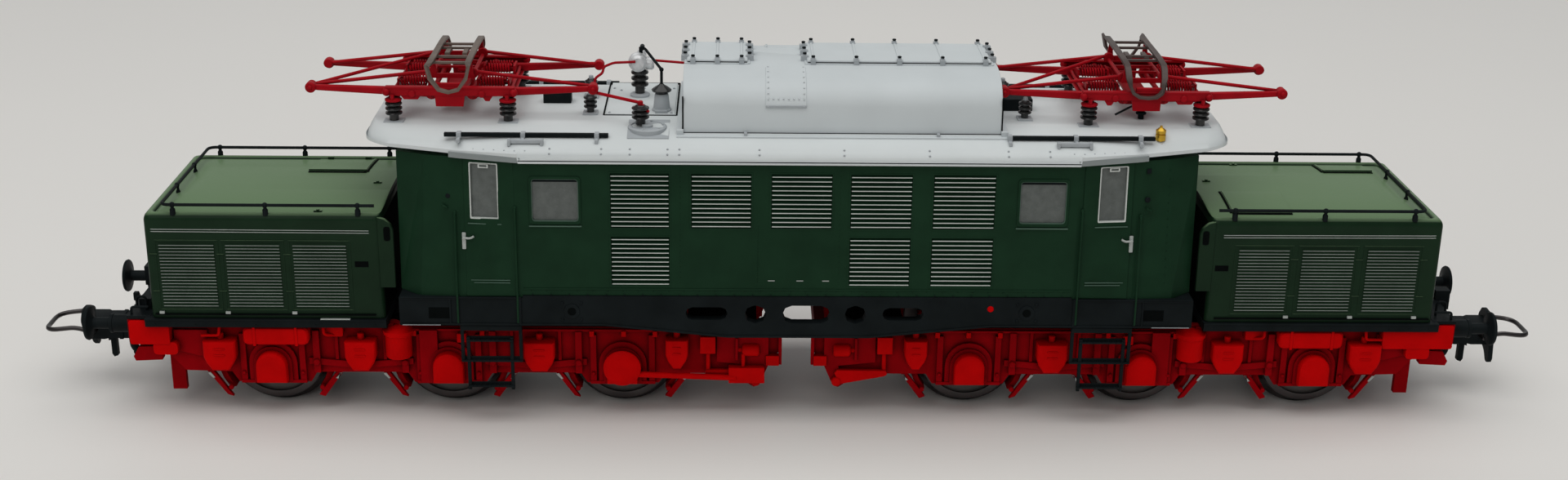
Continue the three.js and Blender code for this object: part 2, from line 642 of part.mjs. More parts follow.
function collectorHead() {
  const strip = (x) => prism('x', x - 0.6, x + 0.6, [
    [-11, 49.6], [-10.3, 49.5], [-7.9, 53.1], [7.9, 53.1], [10.3, 49.5], [11, 49.6],
    [8.6, 54], [7.4, 54.2], [-7.4, 54.2], [-8.6, 54],
  ]);
  const shafts = [-SHAFT_X, SHAFT_X].map((x) => rod([x, -7, APEX_Z], [x, 7, APEX_Z], PIN_R, 8));
  const ties = [-6.9, 6.9].map((y) => (
    box(-SHAFT_X - 0.5, SHAFT_X + 0.5, y - 0.25, y + 0.25, APEX_Z - 0.5, 53.6)));
  const rungs = [-4, 0, 4].map((y) => box(-SHAFT_X, SHAFT_X, y - 0.25, y + 0.25, 53.3, 53.9));
  return join(strip(-SHAFT_X), strip(SHAFT_X), shafts, ties, rungs);
}

for (const [end, x, turn] of [['a', -PANTO_X, Math.PI], ['b', PANTO_X, 0]]) {
  const panto = new THREE.Group();
  panto.position.x = x;
  panto.rotation.z = turn;
  loco.add(panto);
  const other = new THREE.Group();
  other.rotation.z = Math.PI;
  panto.add(other);
  add(panto, `panto_base_${end}`, pantoBase(), 'crimson');
  add(panto, `panto_lower_arm_${end}1`, lowerArm(), 'crimson');
  add(other, `panto_lower_arm_${end}2`, lowerArm(), 'crimson');
  add(panto, `panto_upper_arm_${end}1`, upperArm(), 'crimson');
  add(other, `panto_upper_arm_${end}2`, upperArm(), 'crimson');
  add(panto, `panto_head_${end}`, collectorHead(), 'bronze');
  [[-8.3, -9.2], [8.3, -9.2], [-8.3, 9.2], [8.3, 9.2]].forEach(([ix, iy], i) => {
    const foot = ROOF_Z + FIT;
    add(panto, `insulator_${end}${i + 1}`, sheds(ix, iy, foot, 48.2 - foot, 1.3), 'insulator');
  });
}

export default loco;
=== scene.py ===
import math

import bmesh
import bpy
from mathutils import Matrix, Vector


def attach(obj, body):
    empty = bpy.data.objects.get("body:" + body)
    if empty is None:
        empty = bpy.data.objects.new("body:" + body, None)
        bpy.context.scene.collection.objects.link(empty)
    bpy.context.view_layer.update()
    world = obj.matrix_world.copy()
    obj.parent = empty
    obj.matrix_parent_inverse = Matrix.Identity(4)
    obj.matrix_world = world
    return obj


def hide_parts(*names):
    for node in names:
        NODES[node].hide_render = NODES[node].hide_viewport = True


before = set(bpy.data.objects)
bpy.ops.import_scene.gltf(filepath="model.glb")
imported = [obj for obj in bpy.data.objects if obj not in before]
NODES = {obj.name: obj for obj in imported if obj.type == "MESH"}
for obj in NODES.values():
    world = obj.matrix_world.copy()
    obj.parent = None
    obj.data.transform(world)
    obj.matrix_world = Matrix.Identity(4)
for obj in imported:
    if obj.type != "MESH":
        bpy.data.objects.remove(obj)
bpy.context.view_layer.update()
MM = 0.001
ENDS = {"a": -1, "b": 1}  # end a is end b turned half round about Z

# ---------------------------------------------------------------- dimensions (mm)
AXLES = (26.2, 52.3, 78.7)
AXLE_Z = 8.3
SIDE_Y = 17.0
WALL_BOTTOM, WALL_TOP = 20.5, 41.5
CAB_X = 40.5
ROOF_Z = 45.1
MACHINE_X = (-17.0, 29.4)
MACHINE_Y = 12.9
MACHINE_TOP = 52.7
HOOD_X = (61.2, 95.6)
HOOD_Y = 14.6
BEAM_X = 99.5
PANTO_X = 50.9
SHAFT_X = 3.0
ARM_RUN = 17.6
BASE_Z, KNEE_Z, APEX_Z = 48.8, 50.0, 51.2
ARM_KNEE_Z = KNEE_Z - 0.5  # the drawn knees hang a little below the joint


# ---------------------------------------------------------------- materials
def surface(name, color, roughness=0.45, metallic=0.0, *, shade=0.16, patch=260.0, grain=2600.0,
            bump=0.06, corner_shade=0.0, corner_shade_color=(0.30, 0.27, 0.23), coat=0.0, specular=0.5, spread=0.08,
            lit_top_color=None):
    """A painted or moulded finish: uneven colour, fine grain, painted shade darkening corners and recesses,
    painted light paling upward faces.
    """
    mat = bpy.data.materials.new(name)
    mat.use_nodes = True
    nodes, links = mat.node_tree.nodes, mat.node_tree.links
    shader = nodes["Principled BSDF"]
    place = nodes.new("ShaderNodeTexCoord")

    def noise(scale, detail):
        node = nodes.new("ShaderNodeTexNoise")
        node.inputs["Scale"].default_value = scale
        node.inputs["Detail"].default_value = detail
        links.new(place.outputs["Object"], node.inputs["Vector"])
        return node.outputs["Fac"]

    patches = noise(patch, 5.0)
    fine = noise(grain, 3.0)
    ramp = nodes.new("ShaderNodeValToRGB")
    ramp.color_ramp.elements[0].position = 0.3
    ramp.color_ramp.elements[1].position = 0.7
    ramp.color_ramp.elements[0].color = (*[c * (1 - shade) for c in color], 1)
    ramp.color_ramp.elements[1].color = (*[min(1, c * (1 + shade)) for c in color], 1)
    links.new(patches, ramp.inputs["Fac"])
    colour = ramp.outputs["Color"]
    # painted light: faces turned upwards are mixed towards a paler colour, as if lit from above
    if lit_top_color:
        facing = nodes.new("ShaderNodeNewGeometry")
        split = nodes.new("ShaderNodeSeparateXYZ")
        level = nodes.new("ShaderNodeMapRange")
        level.inputs["From Min"].default_value = 0.55
        level.inputs["From Max"].default_value = 0.97
        pale = nodes.new("ShaderNodeMix")
        pale.data_type = "RGBA"
        pale.inputs["B"].default_value = (*lit_top_color, 1)
        links.new(facing.outputs["Normal"], split.inputs["Vector"])
        links.new(split.outputs["Z"], level.inputs["Value"])
        links.new(level.outputs["Result"], pale.inputs["Factor"])
        links.new(colour, pale.inputs["A"])
        colour = pale.outputs["Result"]
    # painted shade: ambient occlusion mixes corners and recesses towards a darker copy of the colour
    if corner_shade:
        near = nodes.new("ShaderNodeAmbientOcclusion")
        near.inputs["Distance"].default_value = 0.0012
        near.samples = 4
        fade = nodes.new("ShaderNodeMapRange")
        fade.inputs["From Min"].default_value = 0.35
        fade.inputs["From Max"].default_value = 0.95
        fade.inputs["To Min"].default_value = corner_shade
        fade.inputs["To Max"].default_value = 0.0
        links.new(near.outputs["AO"], fade.inputs["Value"])
        mix = nodes.new("ShaderNodeMix")
        mix.data_type = "RGBA"
        mix.inputs["B"].default_value = (*corner_shade_color, 1)
        links.new(fade.outputs["Result"], mix.inputs["Factor"])
        links.new(colour, mix.inputs["A"])
        colour = mix.outputs["Result"]
    links.new(colour, shader.inputs["Base Color"])
    rough = nodes.new("ShaderNodeMapRange")
    rough.inputs["To Min"].default_value = max(0.02, roughness - spread)
    rough.inputs["To Max"].default_value = min(1.0, roughness + spread)
    links.new(fine, rough.inputs["Value"])
    links.new(rough.outputs["Result"], shader.inputs["Roughness"])
    height = nodes.new("ShaderNodeBump")
    height.inputs["Strength"].default_value = bump
    height.inputs["Distance"].default_value = 0.00005
    links.new(fine, height.inputs["Height"])
    links.new(height.outputs["Normal"], shader.inputs["Normal"])
    shader.inputs["Metallic"].default_value = metallic
    shader.inputs["Specular IOR Level"].default_value = specular
    shader.inputs["Coat Weight"].default_value = coat
    shader.inputs["Coat Roughness"].default_value = 0.2
    return mat


# the darker corner colours given to these finishes are painted shade in their corners and recesses
GREEN = surface("green_paint", (0.010, 0.035, 0.017), 0.42, shade=0.12, corner_shade=0.25,
                corner_shade_color=(0.002, 0.007, 0.004), specular=0.05)
# painted highlight: a lighter copy of the green for frames, ledges and strips
GREEN_HIGHLIGHT = surface("green_edge_highlight", (0.085, 0.145, 0.11), 0.38, shade=0.1, specular=0.1)
# painted light: the hood's upward faces and bead are made paler
HOOD_GREEN = surface("hood_green_paint", (0.009, 0.026, 0.012), 0.38, shade=0.12, corner_shade=0.25,
                     corner_shade_color=(0.003, 0.009, 0.005), specular=0.03, lit_top_color=(0.140, 0.220, 0.118),
                     coat=0.1)
BLACK = surface("black_paint", (0.008, 0.011, 0.012), 0.5, shade=0.22, bump=0.08, specular=0.05)
DEEP = surface("dark_recess", (0.003, 0.004, 0.004), 0.8, shade=0.3, specular=0.02)
RED = surface("red_moulding", (0.56, 0.0015, 0.002), 0.5, shade=0.10, corner_shade=0.7,
              corner_shade_color=(0.09, 0.001, 0.002), specular=0.02)
# painted shade: a darker copy of the red moulding for the recessed frame plates
RED_IN_SHADE = surface("red_frame_plate_in_shade", (0.30, 0.001, 0.004), 0.55, shade=0.14, corner_shade=0.8,
                    corner_shade_color=(0.035, 0.001, 0.002), specular=0.02)
CRIMSON = surface("crimson_paint", (0.36, 0.003, 0.009), 0.45, shade=0.14, corner_shade=0.6,
                  corner_shade_color=(0.07, 0.002, 0.004), specular=0.08)
ROOF = surface("roof_grey_paint", (0.66, 0.70, 0.705), 0.50, shade=0.03, patch=120.0, bump=0.05,
               corner_shade=0.3, corner_shade_color=(0.30, 0.32, 0.33), specular=0.3)
MACHINE = surface("machine_grey_paint", (0.62, 0.665, 0.68), 0.50, shade=0.03, patch=120.0,
                  corner_shade=0.3, corner_shade_color=(0.28, 0.30, 0.32), specular=0.3)
TRIM_GREY = surface("trim_grey_paint", (0.40, 0.43, 0.45), 0.5, shade=0.06, specular=0.3)
RAIN_GREY = surface("rain_plate_grey", (0.26, 0.29, 0.29), 0.5, shade=0.06, specular=0.3)
STEEL = surface("dark_steel", (0.06, 0.055, 0.055), 0.35, 1.0, shade=0.2, bump=0.05)
TREAD = surface("bright_tread", (0.10, 0.095, 0.09), 0.45, 0.6, shade=0.1, bump=0.04)
BRONZE = surface("dark_bronze", (0.150, 0.115, 0.095), 0.5, 0.2, shade=0.25, bump=0.15, corner_shade=0.6,
                 corner_shade_color=(0.025, 0.018, 0.015), specular=0.25)
DARK_BRONZE = surface("brown_strip", (0.075, 0.050, 0.044), 0.5, 0.2, shade=0.25, bump=0.15)
INSULATOR = surface("brown_glaze", (0.020, 0.020, 0.020), 0.22, shade=0.25, coat=0.25, specular=0.3)
SILVER = surface("silver_print", (0.42, 0.45, 0.43), 0.4, 0.15, shade=0.12, specular=0.3)
# painted highlight: pale colours for the louvre lips; the white also prints the door window frames
DIM_SILVER = surface("dim_silver_highlight", (0.30, 0.33, 0.31), 0.4, 0.1, shade=0.12, specular=0.3)
WHITE = surface("white_print_and_highlight", (0.62, 0.65, 0.62), 0.45, shade=0.08, specular=0.3)
CAST_SILVER = surface("silver_drum", (0.70, 0.71, 0.72), 0.35, 0.3, shade=0.2, patch=900.0, bump=0.4)
BRASS = surface("whistle_brass", (0.62, 0.38, 0.04), 0.3, 0.8, shade=0.2)
PANE = surface("smoked_pane", (0.105, 0.118, 0.112), 0.25, shade=0.16, patch=900.0, grain=5000.0,
               bump=0.03, specular=0.35)
MOTOR_CAN = surface("motor_can", (0.42, 0.42, 0.43), 0.4, 0.9, shade=0.12)
ZINC = surface("blackened_zinc", (0.030, 0.030, 0.033), 0.5, 0.6, shade=0.2)


# ---------------------------------------------------------------- mesh building
CORNERS = ((1, 1), (-1, 1), (-1, -1), (1, -1))
LIFT = {  # where an outline's two measures and the height along the axis go
    "x": lambda u, v, w: (w, u, v),
    "y": lambda u, v, w: (u, w, v),
    "z": lambda u, v, w: (u, v, w),
}


class Piece:
    """Closed shells in millimetres, gathered into one object that rides on a body."""

    def __init__(self, name, material, body, slot, turn=1):
        self.name, self.material, self.body, self.slot = name, material, body, slot
        self.turn = turn
        self.verts, self.faces = [], []

    def shell(self, verts, faces):
        base = len(self.verts)
        self.verts += [(x * self.turn, y * self.turn, z) for x, y, z in verts]
        self.faces += [[base + i for i in face] for face in faces]
        return self

    def rings(self, rings, closed=False):
        """A skin over rings of points, capped at its two ends unless it closes on itself."""
        count, n = len(rings), len(rings[0])
        faces = []
        for k in range(count if closed else count - 1):
            a, b = k * n, ((k + 1) % count) * n
            faces += [[a + i, a + (i + 1) % n, b + (i + 1) % n, b + i] for i in range(n)]
        if not closed:
            faces += [list(range(n))[::-1], [(count - 1) * n + i for i in range(n)]]
        return self.shell([p for ring in rings for p in ring], faces)

    def box(self, x0, x1, y0, y1, z0, z1):
        x0, x1 = sorted((x0, x1))
        y0, y1 = sorted((y0, y1))
        corners = [(x0, y0), (x1, y0), (x1, y1), (x0, y1)]
        return self.rings([[(x, y, z0) for x, y in corners], [(x, y, z1) for x, y in corners]])

    def prism(self, axis, a, b, outline):
        """An outline between two positions on an axis: y takes (x, z) points, x (y, z), z (x, y)."""
        lift = LIFT[axis]
        return self.rings([[lift(u, v, w) for u, v in outline] for w in (a, b)])

    def lathe(self, at, axis, profile, sides=24, phase=0.0):
        """A turned shape: profile of (radius, height) from end to end along an axis."""
        lift = LIFT[axis]
        rings = []
        for r, h in profile:
            r = max(r, 0.002)
            ring = []
            for i in range(sides):
                angle = phase + 2 * math.pi * i / sides
                x, y, z = lift(r * math.cos(angle), r * math.sin(angle), h)
                ring.append((at[0] + x, at[1] + y, at[2] + z))
            rings.append(ring)
        return self.rings(rings)

    def rod(self, p, q, r, r2=None, sides=12):
        """A round bar between two points, with softened rims."""
        p, q = Vector(p), Vector(q)
        r2 = r if r2 is None else r2
        along = (q - p).normalized()
        soft = min(r, r2) * 0.25
        stops = [(p, r - soft), (p + along * soft, r), (q - along * soft, r2), (q, r2 - soft)]
        u = along.orthogonal().normalized()
        w = along.cross(u)
        turn = [(math.cos(2 * math.pi * i / sides), math.sin(2 * math.pi * i / sides))
                for i in range(sides)]
        return self.rings([[tuple(c + (u * a + w * b) * rr) for a, b in turn] for c, rr in stops])

    def tube(self, points, r, sides=8, closed=False, flat=None):
        """A tube along points; flat=(half width, half height, up) makes it a ribbon instead."""
        pts = [Vector(p) for p in points]
        n = len(pts)
        rings = []
        normal = None
        for i, p in enumerate(pts):
            before = pts[i - 1] if (i or closed) else p
            after = pts[(i + 1) % n] if (i < n - 1 or closed) else p
            along = (after - before).normalized()
            if flat:
                side = along.cross(Vector(flat[2])).normalized()
                up = side.cross(along)
                ring = [p + side * a * flat[0] + up * b * flat[1]
                        for a, b in CORNERS]
                rings.append([tuple(c) for c in ring])
                continue
            if normal is None:
                normal = along.orthogonal().normalized()
            normal = (normal - along * normal.dot(along)).normalized()
            w = along.cross(normal)
            rings.append([tuple(p + (normal * math.cos(2 * math.pi * k / sides)
                                     + w * math.sin(2 * math.pi * k / sides)) * r) for k in range(sides)])
        return self.rings(rings, closed)

    def ball(self, at, r, sides=14):
        steps = 8
        profile = [(r * math.sin(math.pi * i / steps), -r * math.cos(math.pi * i / steps))
                   for i in range(steps + 1)]
        return self.lathe(at, "z", profile, sides)

    def build(self, *nodes, bevel=0.0, angle=35.0):
        """Makes the object; the CAD nodes named are the ones it stands for."""
        mesh = bpy.data.meshes.new(self.name)
        mesh.from_pydata([(x * MM, y * MM, z * MM) for x, y, z in self.verts], [], self.faces)
        mesh.validate()
        fix_normals(mesh)
        mesh.polygons.foreach_set("use_smooth", [True] * len(mesh.polygons))
        mesh.set_sharp_from_angle(angle=math.radians(angle))
        mesh.materials.append(self.material)
        obj = bpy.data.objects.new(self.name, mesh)
        bpy.context.scene.collection.objects.link(obj)
        if bevel:
            soften(obj, bevel)
        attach(obj, self.body)
        if nodes:
            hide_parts(*nodes)
        return obj


def fix_normals(mesh):
    work = bmesh.new()
    work.from_mesh(mesh)
    bmesh.ops.recalc_face_normals(work, faces=work.faces)
    work.to_mesh(mesh)
    work.free()


def soften(obj, width, segments=2):
    mod = obj.modifiers.new("soft edges", "BEVEL")
    mod.width = width * MM
    mod.segments = segments
    mod.limit_method = "ANGLE"
    mod.angle_limit = math.radians(40)
    mod.harden_normals = False


def cad(node, material, bevel=0.12):
    """A CAD node that keeps its shape and gets its finish and softened edges."""
    obj = NODES[node]
    obj.data.materials.clear()
    obj.data.materials.append(material)
    if bevel:
        soften(obj, bevel)


def fillet(points, radius, steps=5, closed=False):
    """Points with each corner rounded."""
    pts = [Vector(p) for p in points]
    n = len(pts)
    out = []
    for i, p in enumerate(pts):
        if not closed and i in (0, n - 1):
            out.append(p)
            continue
        a, b = pts[i - 1] - p, pts[(i + 1) % n] - p
        cut = min(radius, a.length * 0.45, b.length * 0.45)
        start, end = p + a.normalized() * cut, p + b.normalized() * cut
        for k in range(steps + 1):
            t = k / steps
            out.append(start * (1 - t) ** 2 + p * 2 * t * (1 - t) + end * t ** 2)
    return [tuple(v) for v in out]


def round_rect(u0, u1, v0, v1, radius, steps=4):
    corners = [(u0, v0, 0), (u1, v0, 0), (u1, v1, 0), (u0, v1, 0)]
    return [(u, v) for u, v, _ in fillet(corners, radius, steps, True)]


def lerp(a, b, t):
    return a + (b - a) * t


# ---------------------------------------------------------------- body walls
def wall_y(x, z):
    """How far the body side stands from the middle at a place along it."""
    lean = (z - WALL_BOTTOM) / (WALL_TOP - WALL_BOTTOM)
    line = [(CAB_X, SIDE_Y), (49.3, SIDE_Y - 1.5 * lean), (55.3 - lean, 16.6 - 2.4 * lean),
            (58.7, 13.6 - 1.2 * lean)]
    x = abs(x)
    if x <= CAB_X:
        return SIDE_Y
    for (xa, ya), (xb, yb) in zip(line, line[1:]):
        if x <= xb:
            return lerp(ya, yb, (x - xa) / (xb - xa))
    return line[-1][1]


def on_wall(side, x, z, out=0.0):
    return (x, side * (wall_y(x, z) + out), z)


def wall_plate(piece, side, x0, x1, z0, z1, back, front, radius=0.0, hole=None):
    """A plate that follows the wall, with an optional window hole (x0, x1, z0, z1)."""
    outer = round_rect(x0, x1, z0, z1, radius) if radius else [(x0, z0), (x1, z0), (x1, z1), (x0, z1)]
    if hole is None:
        piece.rings([[on_wall(side, x, z, d) for x, z in outer] for d in (back, front)])
        return
    inner = round_rect(*hole, radius) if radius else [(hole[0], hole[2]), (hole[1], hole[2]),
                                                      (hole[1], hole[3]), (hole[0], hole[3])]
    loops = [(outer, back), (outer, front), (inner, front), (inner, back)]
    piece.rings([[on_wall(side, x, z, d) for x, z in loop] for loop, d in loops], closed=True)


UPPER_LOUVRES = ((-27.4, -18.9), (-15.7, -7.0), (-4.1, 4.7), (7.4, 16.3), (19.4, 28.4))
LOWER_LOUVRES = (UPPER_LOUVRES[0], UPPER_LOUVRES[3], UPPER_LOUVRES[4])
LOUVRE_ROWS = ((UPPER_LOUVRES, 31.4, 39.7, 12), (LOWER_LOUVRES, 22.4, 30.0, 11))


def louvres(slats, edges, x0, x1, z0, z1, y, side, count, depth, lip=0.08):
    """Sloping slats in a recess; their front lips are a piece of their own."""
    pitch = (z1 - z0) / count
    for i in range(count):
        z = z0 + i * pitch
        outline = [(side * (y - depth), z + pitch * 0.98), (side * (y - 0.02), z + pitch * 0.50),
                   (side * (y - 0.02), z + pitch * 0.18), (side * (y - depth), z + pitch * 0.12)]
        slats.prism("x", x0 + 0.1, x1 - 0.1, outline)
        # painted highlight: a pale lip along each slat's front edge
        edges.box(x0 + 0.1, x1 - 0.1, side * (y - 0.06), side * (y + lip), z + pitch * 0.32,
                  z + pitch * 0.48)


def body_sides():
    cad("body_shell", GREEN, 0.18)
    slats = Piece("side_louvres", GREEN, "body", "body_green")
    edges = Piece("side_louvre_edges", WHITE, "body", "switch_silver")
    trims = Piece("side_panel_trims", GREEN, "body", "body_green")
    doors = Piece("cab_doors", GREEN, "body", "body_green")
    door_frames = Piece("door_window_frames", WHITE, "body", "switch_silver")
    cab_frames = Piece("cab_window_frames", GREEN_HIGHLIGHT, "body", "body_green")
    silver = Piece("side_silver_lines", SILVER, "body", "switch_silver")
    lines = Piece("side_sill_lines", GREEN_HIGHLIGHT, "body", "body_green")
    handles = Piece("door_handles", SILVER, "body", "switch_silver")
    panes = Piece("window_panes", PANE, "body", "glass_clear")
    rails = Piece("cab_handrails", GREEN, "body", "body_green")
    rivets = Piece("side_rivets", GREEN, "body", "body_green")
    dark = Piece("side_black_covers_and_window_shadows", BLACK, "body", "frame_black")
    for side in (-1, 1):
        for bays, low, high, count in LOUVRE_ROWS:
            for x0, x1 in bays:
                louvres(slats, edges, x0, x1, low, high, SIDE_Y, side, count, 0.4)
                wall_plate(trims, side, x0 - 0.25, x1 + 0.25, low - 0.25, high + 0.25, -0.1, 0.05, 0.0,
                           (x0, x1, low, high))
        for k in range(36):
            x = -39.2 + k * 2.24
            rivets.ball(on_wall(side, x, 41.0, 0.0), 0.11, 8)
            rivets.ball(on_wall(side, x, 21.5, 0.0), 0.09, 8)
        for k in range(22):
            rivets.ball(on_wall(side, -6.0, 23.0 + k * 0.42, 0.0), 0.08, 8)
            rivets.ball(on_wall(side, -17.3, 22.9 + k * 0.82, 0.0), 0.08, 8)
            rivets.ball(on_wall(side, 5.9, 22.9 + k * 0.82, 0.0), 0.08, 8)
        for x in (-4.0, 0.2, 4.0):
            silver.box(x - 0.5, x + 0.5, side * 16.9, side * 17.05, 23.2, 23.32)
        # long moulded line along the eave and the panel line above the sill
        for z in (41.1, 21.75):
            trims.box(-40.3, 40.3, side * 16.9, side * 17.12, z, z + 0.22)
        for e in (-1, 1):
            x0, x1 = sorted((31.9 * e, 38.9 * e))
            wall_plate(doors, side, x0 - 0.25, x1 + 0.25, 31.9, 39.2, -0.9, 0.16, 0.6,
                       (x0 + 0.1, x1 - 0.1, 32.3, 38.8))
            # painted highlight: lighter green ring round the window and ledge line below it
            wall_plate(lines, side, x0 + 0.02, x1 - 0.02, 32.22, 38.88, -0.3, 0.02, 0.5,
                       (x0 + 0.2, x1 - 0.2, 32.4, 38.7))
            # painted shadow: a black strip across the top of the window, behind its frame
            wall_plate(dark, side, x0 + 0.15, x1 - 0.15, 38.25, 38.85, -0.4, -0.28)
            lines.box(x0 - 0.3, x1 + 0.3, side * 16.9, side * 17.25, 31.55, 31.69)
            wall_plate(panes, side, x0 - 0.05, x1 + 0.05, 32.15, 38.95, -0.75, -0.35)
            # the door, its window, kick strips, handle and handrails
            d0, d1 = sorted((41.3 * e, 48.6 * e))
            w0, w1 = sorted((43.6 * e, 47.7 * e))
            wall_plate(doors, side, d0, d1, 20.7, 41.35, -0.2, 0.14, 0.0, (w0, w1, 32.6, 40.9))
            wall_plate(door_frames, side, w0 - 0.05, w1 + 0.05, 32.5, 40.95, -0.5, 0.22, 0.2,
                       (w0 + 0.12, w1 - 0.12, 32.66, 40.79))
            m = (w0 + w1) / 2
            wall_plate(door_frames, side, m - 0.75, m + 0.75, 40.2, 40.75, 0.0, 0.3, 0.0,
                       (m - 0.55, m + 0.55, 40.34, 40.68))
            wall_plate(panes, side, m - 0.55, m + 0.55, 40.34, 40.68, 0.0, 0.26)
            wall_plate(panes, side, w0 + 0.05, w1 - 0.05, 32.6, 40.8, -0.75, -0.3)
            # painted highlight: lighter green ledge under the door window and kick strips
            wall_plate(lines, side, w0 - 0.4, w1 + 0.4, 31.75, 31.87, 0.05, 0.3)
            for z, reach in ((23.15, 0.0), (22.75, 0.45)):
                k0, k1 = sorted((42.2 * e, (47.9 - reach) * e))
                wall_plate(lines, side, k0, k1, z, z + 0.1, 0.05, 0.24)
            h = 48.75 * e
            wall_plate(handles, side, h - 0.28, h + 0.28, 27.9, 30.4, 0.1, 0.34, 0.12)
            lever = [on_wall(side, h - 0.1 * e, 29.65, 0.45), on_wall(side, h - 0.9 * e, 29.6, 0.5),
                     on_wall(side, h - 1.5 * e, 29.95, 0.5)]
            handles.tube(fillet(lever, 0.3), 0.17)
            handles.rod(on_wall(side, h, 29.65, 0.2), on_wall(side, h, 29.65, 0.62), 0.26)
            for x, top in ((41.2 * e, 34.4), (50.0 * e, 33.3)):
                run = min(0.5, 17.44 - wall_y(x, 24))
                path = [on_wall(side, x, top, 0.0), (x, side * (wall_y(x, top) + run), top - 0.2),
                        (x, side * (wall_y(x, 24) + run), 24), (x, side * 17.4, 20.2),
                        (x, side * 17.42, 16.6)]
                rails.tube(fillet(path, 0.4), 0.16)
                rails.ball(on_wall(side, x, top, 0.1), 0.28, 10)
            # round button and square cover beside the door
            if e > 0:
                wall_plate(dark, side, 50.55, 51.25, 39.6, 40.3, 0.0, 0.16)
            dark.rod(on_wall(side, 50.9 * e, 35.7, 0.0), on_wall(side, 50.9 * e, 35.7, 0.25), 0.42,
                     sides=16)
            lamp = 51.3 * e
            rails.tube(fillet([on_wall(side, lamp - 0.5, 34.5, 0.05), on_wall(side, lamp - 0.4, 34.4, 0.5),
                               on_wall(side, lamp + 0.2, 34.1, 0.5), on_wall(side, lamp + 0.3, 34, 0.05)],
                              0.15), 0.14)
            # joint line of the cab corner panel
            for z in [23.0 + 1.2 * k for k in range(15)]:
                rivets.ball(on_wall(side, 54.2 * e, z, 0.0), 0.08, 8)
    # cab end windows
    for e in (-1, 1):
        for side in (-1, 1):
            y0, y1 = sorted((2.1 * side, 9.5 * side))
            # painted highlight: the end window frames are drawn in the lighter green
            cab_frames.rings([[(x * e, y, z) for y, z in loop] for x, loop in (
                (57.6, round_rect(y0, y1, 34.5, 40.1, 0.4)), (58.35, round_rect(y0, y1, 34.5, 40.1, 0.4)),
                (58.35, round_rect(y0 + 0.4, y1 - 0.4, 34.9, 39.7, 0.4)),
                (57.6, round_rect(y0 + 0.4, y1 - 0.4, 34.9, 39.7, 0.4)))], closed=True)
            panes.box(57.3 * e, 57.6 * e, y0, y1, 34.7, 39.9)
    slats.build(angle=25)
    edges.build()
    trims.build(bevel=0.04)
    doors.build(bevel=0.06)
    door_frames.build(bevel=0.05)
    cab_frames.build(bevel=0.06)
    silver.build()
    lines.build()
    handles.build(bevel=0.05)
    panes.build()
    rails.build()
    rivets.build()
    dark.build(bevel=0.04)
    for end in ENDS:
        cad(f"glazing_{end}", PANE, 0.05)


# ---------------------------------------------------------------- roof
ROOF_EAVE = ((CAB_X, 17.66), (49.5, 15.9), (60.6, 13.4), (62.8, 11.9), (63.4, 9.7))
ROOF_TOP = ((CAB_X, 10.8), (49.5, 10.8), (60.0, 10.6), (61.8, 9.2), (62.4, 7.0))


def roof_height(rise):
    """Height of the roof skin between its eave (0) and its flat top (1)."""
    stops = ((0.0, 41.3), (0.004, 41.9), (0.03, 42.45), (0.10, 42.95), (0.22, 43.5), (0.38, 43.98),
             (0.55, 44.4), (0.75, 44.78), (0.9, 44.99), (1.0, 45.08))
    for (a, za), (b, zb) in zip(stops, stops[1:]):
        if rise <= b:
            return lerp(za, zb, (rise - a) / (b - a))
    return stops[-1][1]


def eave_lift(x, rise):
    """The roof's lower edge stands higher over the cabs and rises again at the very end."""
    over_cab = 0.85 if abs(x) > CAB_X + 0.01 else 0.0
    tip = max(0.0, min(1.0, (abs(x) - 57.0) / 6.0))
    return (over_cab + 0.8 * tip) * max(0.0, 1.0 - rise / 0.05)


def roof_plan(rise):
    half = [(lerp(a[0], b[0], rise), lerp(a[1], b[1], rise)) for a, b in zip(ROOF_EAVE, ROOF_TOP)]
    first, second = half[:2]
    step = (first[0] + 0.15, lerp(first[1], second[1], 0.02))
    soft = [p[:2] for p in fillet([(x, y, 0) for x, y in half[1:]] + [(half[-1][0], -half[-1][1], 0)],
                                  2.4, 4)]
    quarter = [first, step] + soft[:-1]
    loop = quarter[::-1] + [(-x, y) for x, y in quarter]
    return loop + [(-x, -y) for x, y in loop]


def roof_z(y):
    """Height of the roof surface at a distance from the middle, between the cabs."""
    rise = max(0.0, min(1.0, (17.7 - abs(y)) / (17.7 - 10.8)))
    return roof_height(rise)


